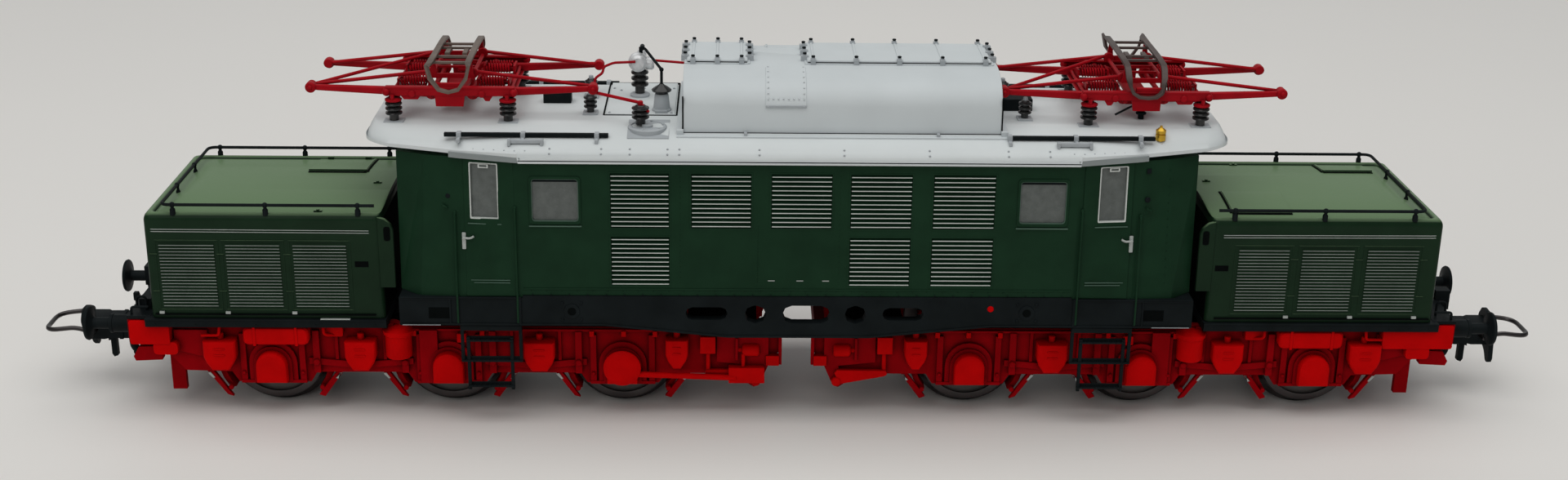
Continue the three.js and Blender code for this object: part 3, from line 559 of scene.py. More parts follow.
def roof_shell():
    skin = Piece("roof_skin", ROOF, "body", "roof_grey")
    rises = (0.0, 0.004, 0.03, 0.10, 0.22, 0.38, 0.55, 0.75, 0.9, 1.0)
    skin.rings([[(x, y, roof_height(r) + eave_lift(x, r)) for x, y in roof_plan(r)] for r in rises])
    skin.build("roof", angle=50)

    trims = Piece("roof_trims", ROOF, "body", "roof_grey")
    grey_lip = Piece("roof_rain_strips", RAIN_GREY, "body", "roof_grey")
    grey = Piece("roof_grabs_and_clips", TRIM_GREY, "body", "roof_grey")
    black = Piece("roof_walk_strips", BLACK, "body", "frame_black")
    rivets = Piece("roof_rivets", TRIM_GREY, "body", "roof_grey")
    outline = Piece("roof_panel_gap", DEEP, "body", "frame_black")
    for side in (-1, 1):
        for a, b in ((-51.3, -27.7), (30.2, 51.6)):
            y = 14.3
            z = roof_z(y) + 0.15
            black.box(a, b, side * (y - 0.35), side * (y + 0.35), z - 0.1, z + 0.45)
            for t in (0.09, 0.48, 0.93) if a < 0 else (0.01, 0.46, 0.9):
                x = lerp(a, b, t)
                grey.box(x - 0.34, x + 0.34, side * (y - 0.5), side * (y + 0.55), z - 0.25, z + 0.6)
                grey.box(x - 0.25, x + 0.25, side * (y + 0.5), side * (y + 1.5), z - 0.75, z - 0.1)
        for m in (-39.5, 39.7):
            y = 15.8
            z = roof_z(y)
            grey.box(m - 2.35, m + 2.35, side * (y - 0.3), side * (y + 0.25), z + 0.1, z + 0.65)
            for x in (m - 2.35, m + 2.35):
                grey.box(x - 0.22, x + 0.22, side * (y - 0.45), side * (y + 0.45), z - 0.25, z + 0.75)
        for x in (-36.0, -28.6, -24.5, -19.1, -17.4, -5.9, 6.3, 18.6, 30.0, 36.0):
            for y in (16.6, 17.3):
                rivets.ball((x, side * y, roof_z(y)), 0.16, 8)
        for e in (-1, 1):
            for k in range(6):
                x = (39.5 + k * 1.5) * e
                y = 16.9 - max(0, k - 1) * 0.26
                rivets.ball((x, side * y, roof_z(17.0) - 0.02 * k), 0.12, 8)
            for x in (52.5, 54.6):
                rivets.ball((x * e, side * 12.2, 44.0), 0.16, 8)
            # rain strip over the door
            a, b = (CAB_X - 0.3) * e, 50.6 * e
            steps = 8
            path = []
            for k in range(steps + 1):
                x = lerp(a, b, k / steps)
                path.append((x, side * min(17.6, wall_y(x, WALL_TOP) + 0.55), 41.72 + 0.3 * k / steps))
            grey_lip.tube(path, 0, flat=(0.1, 0.42, (0, 0, 1)))
        # eave bead
        trims.box(-CAB_X, CAB_X, side * 17.2, side * 17.69, 41.25, 41.55)
        outline.box(-CAB_X, CAB_X, side * 17.3, side * 17.67, 41.6, 41.72)
    # raised panel of the main switch
    x0, x1, y0, y1 = -28.9, -18.1, -5.6, 12.5
    for a in ((x0, x1, y0 - 0.12, y0 + 0.12), (x0, x1, y1 - 0.12, y1 + 0.12),
              (x0 - 0.12, x0 + 0.12, y0, y1), (x1 - 0.12, x1 + 0.12, y0, y1)):
        outline.box(*a, ROOF_Z - 0.2, ROOF_Z + 0.06)
    outline.build()
    trims.box(x0 + 0.3, x1 - 0.3, y0 + 0.3, y1 - 0.3, ROOF_Z - 0.2, ROOF_Z + 0.12)
    for x, y in ((-28.1, -4.8), (-18.9, -4.8), (-28.1, 8.8), (-18.9, 8.8), (-23.5, 8.9), (-27.0, 7.6)):
        rivets.ball((x, y, ROOF_Z + 0.1), 0.22, 8)
    # boxes beside the pantographs
    boxes = Piece("roof_black_boxes", BLACK, "body", "frame_black")
    boxes.box(-38.4, -34.2, 0.6, 3.0, ROOF_Z - 0.1, 46.8)
    boxes.box(31.0, 35.4, -1.9, 0.9, ROOF_Z - 0.1, 46.9)
    boxes.build(bevel=0.15)
    trims.build(bevel=0.06)
    grey_lip.build(bevel=0.04)
    grey.build(bevel=0.08)
    black.build(bevel=0.06)
    rivets.build()
    whistle = Piece("whistle", BRASS, "body", "flywheel_brass")
    at = (52.6, -13.2, 43.6)
    whistle.lathe(at, "z", ((0, -0.3), (0.8, -0.3), (0.8, 0.1), (0.4, 0.2), (0.4, 0.4), (0.75, 0.5),
                            (0.75, 1.35), (0.6, 1.45), (0.75, 1.55), (0.75, 2.0), (0.4, 2.3), (0.2, 2.4),
                            (0.2, 2.65), (0, 2.7)))
    whistle.build()


def machine_ring(inset, z, corner=0.25):
    x0, x1 = MACHINE_X
    loop = [(x0, -MACHINE_Y + inset, 0), (x1, -MACHINE_Y + inset, 0), (x1, MACHINE_Y - inset, 0),
            (x0, MACHINE_Y - inset, 0)]
    return [(x, y, z) for x, y, _ in fillet(loop, corner, 4, True)]


MACHINE_PROFILE = ((0.0, 43.7), (0.05, 48.6), (0.3, 49.5), (0.75, 50.3), (1.4, 51.0), (2.3, 51.6),
                   (3.4, 52.05), (5.0, 52.45), (6.9, 52.68))


def machine_roof():
    skin = Piece("machine_roof_skin", MACHINE, "body", "machine_grey")
    skin.rings([machine_ring(inset, z) for inset, z in MACHINE_PROFILE])
    skin.build("machine_roof", angle=50)
    trims = Piece("machine_roof_trims", MACHINE, "body", "machine_grey")
    gap = Piece("machine_roof_base_gap_and_corner_shadows", DEEP, "body", "frame_black")
    clips = Piece("machine_roof_clips", TRIM_GREY, "body", "roof_grey")
    x0, x1 = MACHINE_X
    for x in (x0 - 0.06, x1 + 0.06):
        gap.box(x - 0.06, x + 0.06, -MACHINE_Y, MACHINE_Y, ROOF_Z - 0.6, ROOF_Z + 0.25)
    for side in (-1, 1):
        z = roof_z(MACHINE_Y + 1.2)
        trims.box(x0 - 0.9, x1 + 0.9, side * (MACHINE_Y - 0.2), side * (MACHINE_Y + 1.4), z - 0.3, z + 0.18)
        gap.box(x0 - 0.1, x1 + 0.1, side * (MACHINE_Y - 0.1), side * (MACHINE_Y + 0.14), z - 0.1, z + 0.38)
        for x in (-7.9, 20.1):
            clips.box(x - 0.22, x + 0.22, side * (MACHINE_Y - 0.1), side * (MACHINE_Y + 1.1), z - 0.05,
                      z + 0.6)
        # painted shadow: dark upright strips at the corners of the machine roof's ends
        for x in (x0, x1):
            gap.box(x - 0.1, x + 0.1, side * (MACHINE_Y - 0.35), side * (MACHINE_Y + 0.03), ROOF_Z - 0.5,
                    50.0)
    for x in (x0 - 0.4, x1 + 0.4):
        trims.box(x - 0.5, x + 0.5, -MACHINE_Y - 0.6, MACHINE_Y + 0.6, ROOF_Z - 1.2, ROOF_Z + 0.1)
    # riveted panel curving over the near shoulder
    rivets = Piece("machine_roof_rivets", MACHINE, "body", "machine_grey")
    for side in (-1, 1):
        under, over = [], []
        for inset, z in MACHINE_PROFILE[1:]:
            y = MACHINE_Y - inset
            steep = 1.0 if z < 50.2 else 0.4
            under.append((y - 0.1, z - 0.1))
            over.append((y + 0.14 * steep, z + 0.12 * (1.2 - steep)))
        band = [(side * y, z) for y, z in over + under[::-1]]
        px0, px1 = -5.0, 0.9
        trims.prism("x", px0, px1, band)
        clips.box(px0, px1, side * (MACHINE_Y - 0.3), side * (MACHINE_Y + 0.16), 48.5, 48.85)
        for x in (px0 + 0.35, px1 - 0.35):
            for inset, z in MACHINE_PROFILE[1:]:
                rivets.ball((x, side * (MACHINE_Y - inset + 0.1), z + 0.12), 0.13, 8)
        for k in range(8):
            rivets.ball((lerp(px0 + 0.35, px1 - 0.35, k / 7), side * (MACHINE_Y - 0.2), 49.75), 0.13, 8)
    trims.build(bevel=0.06)
    clips.build(bevel=0.05)
    gap.build()
    rivets.build()
    for node, (h0, h1, count) in {"roof_hatch_short": (-16.6, -7.6, 3),
                                  "roof_hatch_long": (1.2, 28.6, 5)}.items():
        hatch(node, h0, h1, count)


def hatch(node, x0, x1, count):
    """A bolted hatch lid with straps, edge clamps and upright clamp bolts."""
    y, back, z = 5.4, 1.4, MACHINE_TOP + 0.05
    lid = Piece(node + "_lid", MACHINE, "body", "machine_grey")
    lid.rings([[(px, py, h) for px, py in round_rect(x0 + i, x1 - i, back - y + i, back + y - i, 0.3)]
               for i, h in ((0.0, z - 0.1), (0.0, z + 0.42), (0.1, z + 0.55))])
    lid.prism("z", z - 0.35, z + 0.12,
              round_rect(x0 - 0.35, x1 + 0.35, back - y - 0.35, back + y + 0.35, 0.3))
    bolts = Piece(node + "_clamps", TRIM_GREY, "body", "machine_grey")
    tips = Piece(node + "_clamp_tips", BLACK, "body", "frame_black")
    shade = Piece(node + "_edge_shadow", DEEP, "body", "frame_black")
    # painted shadow: a dark strip under the lid's near edge
    shade.box(x0 + 0.1, x1 - 0.1, back - y - 0.12, back - y + 0.1, z + 0.1, z + 0.24)
    shade.build()
    places = []
    for i in range(count):
        x = lerp(x0 + 0.9, x1 - 0.9, i / (count - 1))
        places += [(x, back - y + 0.1, 0, -1), (x, back + y - 0.1, 0, 1)]
        lid.box(x - 0.18, x + 0.18, back - y + 0.3, back + y - 0.3, z + 0.4, z + 0.66)
    for k in (-1, 0, 1):
        places += [(x0 - 0.3, back + k * 3.4, -1, 0), (x1 + 0.3, back + k * 3.4, 1, 0)]
    for x, py, dx, dy in places:
        bolts.box(x - 0.38 - 0.2 * abs(dx), x + 0.38 + 0.2 * abs(dx), py - 0.38 - 0.2 * abs(dy),
                  py + 0.38 + 0.2 * abs(dy), z - 0.15, z + 0.75)
        bolts.rod((x, py, z + 0.6), (x, py, z + 1.0), 0.26, sides=8)
        tips.lathe((x, py, z + 0.9), "z", ((0, 0), (0.24, 0.02), (0.3, 0.2), (0.26, 0.32), (0, 0.34)), 8)
    lid.build(node, bevel=0.05)
    bolts.build(bevel=0.06)
    tips.build()


def shed_profile(base, height, radius, count=3):
    """A ribbed insulator's profile, from a narrow foot through its sheds."""
    foot = height * 0.30
    pitch = (height - foot) / count
    profile = [(0, base), (radius * 0.55, base), (radius * 0.55, base + foot * 0.9)]
    for i in range(count):
        z = base + foot + i * pitch
        profile += [(radius * 0.62, z), (radius * 0.94, z + pitch * 0.08), (radius, z + pitch * 0.28),
                    (radius * 0.96, z + pitch * 0.5), (radius * 0.6, z + pitch * 0.78),
                    (radius * 0.55, z + pitch * 0.95)]
    return profile + [(radius * 0.5, base + height), (0, base + height)]


BUS_POSTS = ((-30.9, -4.6), (-31.4, 4.4), (31.6, 4.6), (33.6, -6.2))


def roof_equipment():
    switch = Piece("switch_drum", CAST_SILVER, "body", "switch_silver")
    dark = Piece("switch_insulators", INSULATOR, "body", "insulator_brown")
    links = Piece("switch_links", BLACK, "body", "frame_black")
    grey = Piece("switch_cone", TRIM_GREY, "body", "roof_grey")
    x, y, z = -24.0, 4.8, ROOF_Z
    grey.lathe((x, y, z), "z", ((0, 0.1), (1.5, 0.1), (1.5, 0.45), (1.2, 0.6), (0, 0.6)))
    dark.lathe((x, y, 0), "z", shed_profile(z + 0.5, 4.0, 1.35))
    switch.lathe((x - 0.2, y - 0.2, 50.6), "y", ((0, -1.5), (0.9, -1.5), (1.3, -1.2), (1.35, -0.4),
                                                 (1.5, -0.3), (1.5, 0.3), (1.3, 0.5), (1.2, 1.3),
                                                 (0.7, 1.6), (0, 1.6)), 28)
    switch.lathe((x + 0.9, y, 50.4), "x", ((0, 0), (1.0, 0.1), (1.05, 1.0), (0.8, 1.3), (0, 1.35)), 20)
    switch.ball((x + 0.2, y + 1.2, 51.4), 0.8)
    cx, cy = -20.4, -3.1
    grey.lathe((cx, cy, z), "z", ((0, 0.1), (1.45, 0.1), (1.45, 0.3), (1.25, 0.5), (1.05, 2.5),
                                  (0.95, 2.7), (0, 2.7)))
    grey.box(cx - 0.9, cx + 0.9, cy - 1.9, cy - 1.0, z, z + 0.5)
    dark.lathe((cx, cy, 0), "z", ((0, 47.2), (0.75, 47.2), (0.85, 47.4), (0.8, 47.8), (1.0, 48.0),
                                  (1.45, 48.2), (1.5, 48.4), (1.0, 48.8), (0.5, 49.1), (0.3, 49.3),
                                  (0, 49.3)))
    links.tube(fillet([(cx, cy, 49.2), (cx, cy + 0.2, 51.4), (-23.2, 4.0, 52.9), (-23.8, 4.8, 52.6)],
                      0.5), 0.22)
    links.ball((cx, cy + 0.2, 51.4), 0.34, 10)
    links.rod((-23.5, 3.7, 52.95), (-23.6, 5.5, 52.85), 0.36)
    links.rod((-23.8, 4.8, 51.5), (-23.8, 4.8, 52.9), 0.3)
    # bus insulator on its round base
    bx, by = -22.2, -11.3
    plan = ((-25.0, -14.6), (-19.0, -14.6), (-19.0, -12.6), (-19.0, -8.2), (-25.0, -8.2), (-25.0, -12.6))
    grey.rings([[(px, py, roof_z(py) + h) for px, py in plan] for h in (-0.2, 0.15)])
    grey.lathe((bx, by, 44.4), "z", ((0, 0), (2.85, 0), (2.85, 0.7), (2.65, 0.85), (2.4, 0.85),
                                     (2.3, 0.6), (0.8, 0.6), (0.8, 1.0), (0, 1.0)), 36)
    for k in range(6):
        a = math.pi * k / 3 + 0.3
        grey.box(bx + 2.4 * math.cos(a) - 0.18, bx + 2.4 * math.cos(a) + 0.18,
                 by + 2.4 * math.sin(a) - 0.18, by + 2.4 * math.sin(a) + 0.18, 44.4, 45.35)
    dark.lathe((bx - 1.0, by + 0.5, 0), "z", shed_profile(45.3, 2.9, 1.3))
    switch.build("main_switch")
    dark.build("bus_insulator")
    links.build()
    grey.build(bevel=0.04)
    # bus bars
    bars = Piece("bus_bars", CRIMSON, "body", "panto_crimson")
    bars.tube(fillet([(-30.6, 1.0, 46.9), (-30.6, 1.0, 48.9), (-29.4, 1.4, 49.7), (-29.3, 1.8, 50.5),
                      (-27.8, 2.0, 51.1), (-24.6, 3.0, 51.0)], 0.5), 0.2)
    bars.tube([(-22.6, 5.0, 50.8), (-16.9, 3.0, 50.9)], 0.2)
    bars.tube(fillet([(-30.4, -6.6, 48.9), (-23.2, -10.8, 48.5), (-22.0, -11.2, 47.2)], 0.6), 0.25)
    bars.rod((bx - 1.0, by + 0.5, 47.9), (bx - 1.0, by + 0.5, 48.8), 0.4)
    bars.build()
    posts = Piece("bus_posts", INSULATOR, "body", "insulator_brown")
    for px, py in BUS_POSTS:
        posts.lathe((px, py, 0), "z", shed_profile(ROOF_Z, 2.9, 1.0))
    posts.build()
    tops = Piece("bus_post_feet", TRIM_GREY, "body", "roof_grey")
    for px, py in BUS_POSTS:
        tops.box(px - 1.1, px + 1.1, py - 1.1, py + 1.1, ROOF_Z - 0.1, ROOF_Z + 0.25)
        tops.rod((px, py, 47.8), (px, py, 48.5), 0.35)
    tops.build(bevel=0.05)


# ---------------------------------------------------------------- pantographs
def coil(piece, p, q, radius, wire, turns):
    p, q = Vector(p), Vector(q)
    along = (q - p).normalized()
    u = along.orthogonal().normalized()
    w = along.cross(u)
    steps = turns * 10
    path = []
    for i in range(steps + 1):
        a = 2 * math.pi * i * turns / steps
        path.append(tuple(p.lerp(q, i / steps) + (u * math.cos(a) + w * math.sin(a)) * radius))
    piece.tube(path, wire, 5)


ARM_SECTION = ((1, 0.7), (0.6, 1), (-0.6, 1), (-1, 0.7), (-1, -0.7), (-0.6, -1), (0.6, -1), (1, -0.7))


def boss(face, rim, half, flat):
    """Profile of a joint boss: radius of its faces and of its rim, half its width and of its flat."""
    return ((0, -half), (face, -half), (rim, -flat), (rim, flat), (face, half), (0, half))


def pantograph(end):
    turn = ENDS[end]
    cx = PANTO_X

    def piece(name, material, body, slot, flip=1):
        """A piece drawn about the pantograph's own middle; flip makes the other pair of arms."""
        p = Piece(name, material, body, slot)
        shell = p.shell

        def placed(verts, faces):
            return shell([(turn * (cx + flip * x), turn * flip * y, z) for x, y, z in verts], faces)
        p.shell = placed
        return p

    base = piece(f"panto_base_{end}_frame", CRIMSON, "body", "panto_crimson")
    for side in (-1, 1):
        y = side * 9.2
        base.box(-9.4, 9.4, y - side * 0.55, y + side * 0.55, 50.0, 50.3)
        base.box(-9.4, 9.4, y + side * 0.2, y + side * 0.5, 49.1, 50.1)
        base.box(-9.4, 9.4, y - side * 0.5, y + side * 0.5, 49.0, 49.2)
        base.box(-1.6, 2.2, y - side * 0.1, y + side * 0.5, 49.9, 50.9)
        base.prism("y", y + side * 0.05, y + side * 0.45, [(-2.2, 49.3), (2.2, 49.3), (2.1, 47.4),
                                                           (-1.9, 47.4)])
        for a, b, low in ((-6.4, -4.4, 48.2), (4.0, 7.4, 48.4)):
            base.prism("y", y - side * 0.1, y + side * 0.35, [(a, 49.3), (b, 49.3), (b - 0.7, low),
                                                              (a + 0.7, low)])
        base.rod((-4.6, y - side * 0.6, 49.3), (-4.6, y + side * 0.7, 49.3), 0.55)
        base.rod((5.5, y - side * 0.6, 49.3), (5.5, y + side * 0.7, 49.3), 0.55)
        for x in (-9.2, 9.2):
            base.ball((x, y + side * 0.3, 49.5), 0.62, 14)
    for x in (-8.3, 8.3):
        base.box(x - 0.8, x + 0.8, -9.2, 9.2, 48.3, 48.6)
        base.box(x - 0.15, x + 0.15, -9.2, 9.2, 48.0, 48.5)
    for x in (-SHAFT_X, SHAFT_X):
        base.rod((x, -9.2, BASE_Z), (x, 9.2, BASE_Z), 0.38, sides=16)
    base.box(-1.2, 1.2, -9.0, -7.9, 48.0, 48.4)
    for y in (-5.0, 5.0):
        base.box(-9.0, 9.0, y - 0.35, y + 0.35, 48.2, 48.5)
    base.box(-1.6, 1.6, -5.0, 5.0, 47.9, 48.4)
    base.rod((-2.0, -3.3, 47.6), (2.2, -3.3, 47.6), 0.9)
    base.build(f"panto_base_{end}", bevel=0.05)
    springs = piece(f"panto_springs_{end}", CRIMSON, "body", "panto_crimson")
    for side in (-1, 1):
        for y in (3.0, 4.9):
            for a, b in ((-7.6, -3.9), (3.9, 7.6)):
                coil(springs, (a, side * y, 49.9), (b, side * y, 49.9), 0.6, 0.15, 9)
                springs.rod((a - 0.5, side * y, 49.9), (b + 0.5, side * y, 49.9), 0.14, sides=8)
        for x in (-8.1, 8.1, -3.6, 3.6):
            springs.box(x - 0.15, x + 0.15, side * 2.4, side * 5.5, 48.3, 50.4)
    springs.build()
    under = piece(f"panto_drive_{end}", BLACK, "body", "frame_black")
    under.lathe((0.2, -5.6, 0), "z", shed_profile(ROOF_Z, 2.4, 0.8))
    under.rod((-4.2, -8.1, 46.4), (-1.0, -8.2, 48.2), 0.16)
    under.build()

    for k, flip in ((1, 1), (2, -1)):
        knee = -SHAFT_X - ARM_RUN
        low = piece(f"panto_lower_arm_{end}{k}_frame", CRIMSON, f"lower_arm_{end}{k}", "panto_crimson",
                    flip)
        for y in (-7.0, 7.0):
            spine = []
            for t, h, w in ((0.0, 0.60, 0.42), (0.05, 0.66, 0.42), (0.3, 0.62, 0.40), (0.7, 0.50, 0.36),
                            (1.0, 0.40, 0.34)):
                x, z = lerp(-SHAFT_X, knee, t), lerp(BASE_Z, ARM_KNEE_Z, t)
                spine.append([(x, y + a * w, z + b * h) for a, b in ARM_SECTION])
            low.rings(spine)
            low.lathe((-SHAFT_X, y, BASE_Z), "y", boss(0.85, 0.95, 0.6, 0.45), 20)
            out = 1 if y > 0 else -1
            low.lathe((knee, y, ARM_KNEE_Z), "y", boss(0.6, 0.8, 0.62, 0.45), 20)
            low.ball((knee - 0.05, y + out * 0.5, ARM_KNEE_Z), 0.42, 12)
        low.rod((-8.5, -7.0, 49.1), (-8.5, 7.0, 49.1), 0.26)
        low.build(f"panto_lower_arm_{end}{k}", bevel=0.03)

        up = piece(f"panto_upper_arm_{end}{k}_frame", CRIMSON, f"upper_arm_{end}{k}", "panto_crimson", flip)
        for way in (-1, 1):
            y = 5.9 * way
            up.rod((knee + 0.2, 6.2 * way, KNEE_Z - 0.3), (-SHAFT_X, y, APEX_Z + 0.55), 0.27)
            up.lathe((knee, 6.2 * way, KNEE_Z - 0.4), "y", boss(0.62, 0.7, 0.34, 0.22), 16)
            up.lathe((-SHAFT_X, y, APEX_Z + 0.3), "y", boss(0.7, 0.8, 0.34, 0.22), 16)
        # a diagonal brace stiffens the arms nearer the end's outer side
        if (end, k) in (("a", 2), ("b", 1)):
            up.rod((knee + 0.6, -6.2, KNEE_Z - 0.2), (-SHAFT_X - 0.8, 5.8, APEX_Z + 0.5), 0.26)
        up.build(f"panto_upper_arm_{end}{k}")

    head = piece(f"panto_head_{end}_strips", BRONZE if end == "a" else DARK_BRONZE, f"head_{end}",
                 "strip_bronze")
    side = [(-3.0, 11.0, 53.75), (-2.75, 9.4, 53.85), (-2.7, 4.5, 53.88), (-2.7, 0, 53.9),
            (-2.7, -4.0, 53.86), (-2.7, -7.0, 53.7), (-2.68, -8.0, 53.2), (-2.6, -8.9, 52.1),
            (-2.4, -9.6, 51.0), (-2.0, -10.1, 50.2), (-1.2, -10.45, 49.75), (0, -10.55, 49.65)]
    near = side + [(-x, y, z) for x, y, z in reversed(side[:-1])]
    back = [(2.6, 11.0, 52.0), (1.4, 10.95, 50.3), (0, 10.9, 49.9), (-1.4, 10.95, 50.3), (-2.6, 11.0, 52.0)]
    whole = near + back
    rings = []
    n = len(whole)
    for i, p in enumerate(whole):
        p = Vector(p)
        along = (Vector(whole[(i + 1) % n]) - Vector(whole[i - 1])).normalized()
        inward = Vector((-p.x, 0, 0)) if abs(p.y) < 9.0 else Vector((-p.x, -p.y, 0))
        across = (inward - along * inward.dot(along)).normalized()
        up = along.cross(across)
        rings.append([tuple(p + across * a * 0.45 + up * b * 0.2)
                      for a, b in CORNERS])
    head.rings(rings, closed=True)
    for y in (-3.4, -1.0, 4.2, 7.6):
        head.box(-2.7, 2.7, y - 0.26, y + 0.26, 53.3, 53.65)
    for x in (-1.3, 1.3):
        head.box(x - 0.35, x + 0.35, -1.6, 1.8, 53.1, 53.5)
    head.build(f"panto_head_{end}", bevel=0.04)
    yoke = piece(f"panto_head_{end}_yoke", CRIMSON, f"head_{end}", "panto_crimson")
    for x in (-SHAFT_X, SHAFT_X):
        yoke.rod((x, -6.7, APEX_Z), (x, 6.7, APEX_Z), 0.3)
    for y in (-6.6, 6.6):
        yoke.prism("y", y - 0.18, y + 0.18, [(-3.4, 50.9), (3.4, 50.9), (3.2, 51.5), (2.9, 53.5),
                                             (2.4, 53.5), (2.2, 51.6),
                                            (-2.2, 51.6), (-2.4, 53.5), (-2.9, 53.5), (-3.2, 51.5)])
    for y in (-1.9, 1.5):
        yoke.box(-3.2, 3.2, y - 0.2, y + 0.2, 51.1, 51.45)
    yoke.build(bevel=0.03)

    glaze = piece(f"panto_insulators_{end}", INSULATOR, "body", "insulator_brown")
    feet = piece(f"panto_insulator_feet_{end}", TRIM_GREY, "body", "roof_grey")
    caps = piece(f"panto_insulator_caps_{end}", CRIMSON, "body", "panto_crimson")
    for x in (-8.3, 8.3):
        for y in (-9.2, 9.2):
            glaze.lathe((x, y, 0), "z", shed_profile(ROOF_Z + 0.1, 3.0, 1.25), 28)
            feet.box(x - 1.45, x + 1.45, y - 1.05, y + 1.05, ROOF_Z - 0.4, ROOF_Z + 0.14)
            caps.lathe((x, y, 0), "z", ((0, 48.0), (0.8, 48.0), (1.2, 48.15), (1.25, 48.4), (0.9, 48.6),
                                        (0, 48.6)), 24)
            caps.lathe((x, y + 0.85 * (1 if y > 0 else -1), 0), "z",
                       ((0, 48.5), (0.3, 48.5), (0.3, 49.2), (0, 49.2)), 6)
    glaze.build(*[f"insulator_{end}{i}" for i in range(1, 5)])
    feet.build(bevel=0.04)
    caps.build()


# ---------------------------------------------------------------- bridge frame and ladders
def bridge():
    cad("bridge_frame", BLACK, 0.12)
    extra = Piece("bridge_details", BLACK, "body", "frame_black")
    lines = Piece("bridge_edge_lines", TRIM_GREY, "body", "roof_grey")
    dark = Piece("bridge_recesses_and_shadow_fill", DEEP, "body", "frame_black")
    for side in (-1, 1):
        f = side * 17.2
        for x in (-33.3, 33.9):
            for dx, dz in ((-1.4, 1.3), (1.4, 1.3), (-1.4, -1.3), (1.4, -1.3)):
                extra.ball((x + dx, f, 18.4 + dz), 0.26, 8)
            dark.rod((x, f - side * 0.1, 18.4), (x, f + side * 0.16, 18.4), 0.85)
            extra.lathe((x, f - side * 0.2, 18.4), "y", ((0.9, 0.0), (1.15, 0.0), (1.15, 0.35 * side),
                                                         (0.9, 0.35 * side)), 20)
        for k in range(30):
            extra.ball((-39.0 + k * 2.69, f, 21.0), 0.11, 6)
        # cover strip along the fish belly
        low = [(-58.4, 16.12), (-28.6, 16.12), (-10.5, 14.32), (10.5, 14.32), (28.6, 16.12), (58.4, 16.12)]
        band = low + [(x, z + 0.32) for x, z in reversed(low)]
        extra.prism("y", f - side * 0.05, f + side * 0.16, band)
        for e in (-1, 1):
            a, b = sorted((50.2 * e, 58.4 * e))
            extra.box(a, b, f - side * 0.05, f + side * 0.2, 20.2, 20.42)
            extra.box(*sorted((40.7 * e, 58.4 * e)), side * 16.4, side * 17.45, 20.43, 20.62)
            dark.box(*sorted((51.3 * e, 54.3 * e)), f - side * 0.1, f + side * 0.05, 17.2, 18.9)
            extra.box(*sorted((51.0 * e, 51.25 * e)), f - side * 0.05, f + side * 0.2, 16.4, 20.2)
            lines.box(*sorted((52.6 * e, 58.2 * e)), f + side * 0.1, f + side * 0.2, 16.15, 16.24)
            for x in (40.9, 50.0):
                extra.box(x * e - 0.2, x * e + 0.2, f - side * 0.05, f + side * 0.22, 16.2, 20.4)
    # painted shade: a dark box inside the body fills the view through the frame
    dark.box(-16.0, -5.8, -9.0, 9.0, 16.8, 19.5)
    cap = Piece("sill_red_cap", RED, "body", "bogie_red")
    cap.rod((28.5, -17.1, 19.0), (28.5, -17.32, 19.0), 0.5)
    cap.build()
    extra.build(bevel=0.04)
    lines.build()
    dark.build()
    for end, turn in ENDS.items():
        for k, side in ((1, -1), (2, 1)):
            steps = Piece(f"ladder_{end}{k}_steps", BLACK, "body", "trim_black", turn)
            y0, y1 = side * 16.35, side * 17.1
            for x, low, top in ((41.0, 10.1, 16.05), (49.6, 10.1, 16.05), (42.35, 5.6, 14.0),
                                (48.75, 5.6, 14.0)):
                steps.box(x - 0.25, x + 0.25, side * 16.45, side * 16.9, low, top)
            for a, b, z in ((42.1, 49.0, 6.05), (40.8, 49.8, 10.15), (42.1, 49.0, 13.4)):
                steps.box(a, b, y0, y1, z, z + 0.26)
                steps.box(a, b, y0, y0 + side * 0.15, z, z + 0.7)
                for t in range(9):
                    steps.box(42.9 + 0.7 * t, 43.08 + 0.7 * t, y0 + side * 0.15, y1, z + 0.22, z + 0.36)
            steps.box(40.8, 49.8, side * 16.2, side * 17.15, 15.2, 16.0)
            steps.build(f"ladder_{end}{k}", bevel=0.05)
    cad("motor", MOTOR_CAN, 0.4)
    cad("motor_shaft", BRASS, 0.15)


# ---------------------------------------------------------------- hoods
def hood_ring(side, rear, front, z, corner):
    half = [(rear, side, 0), (front, side, 0), (front, -side, 0), (rear, -side, 0)]
    pts = fillet(half, corner, 4, True)
    return [(x, y, z) for x, y, _ in pts]


HOOD_PROFILE = ((0.0, 16.08), (0.0, 31.2), (0.05, 31.6), (0.18, 31.95), (0.4, 32.22), (0.7, 32.36),
                (1.0, 32.33), (1.22, 32.12), (1.34, 31.86), (1.44, 31.84), (1.56, 32.02), (2.0, 32.12),
                (3.0, 32.28), (6.0, 32.64), (9.6, 32.95))


def hood_z(y):
    """Height of the hood's roof at a distance from the middle."""
    inset = HOOD_Y - abs(y)
    for (a, za), (b, zb) in zip(HOOD_PROFILE[2:], HOOD_PROFILE[3:]):
        if inset <= b:
            return lerp(za, zb, max(0.0, inset - a) / (b - a))
    return HOOD_PROFILE[-1][1]


HOOD_PANELS = {  # the louvred doors of the two hoods are laid out a little differently
    "a": ((85.5, 93.7), (75.95, 84.0), (66.25, 74.2)),
    "b": ((84.55, 92.4), (74.8, 82.7), (65.3, 73.0)),
}


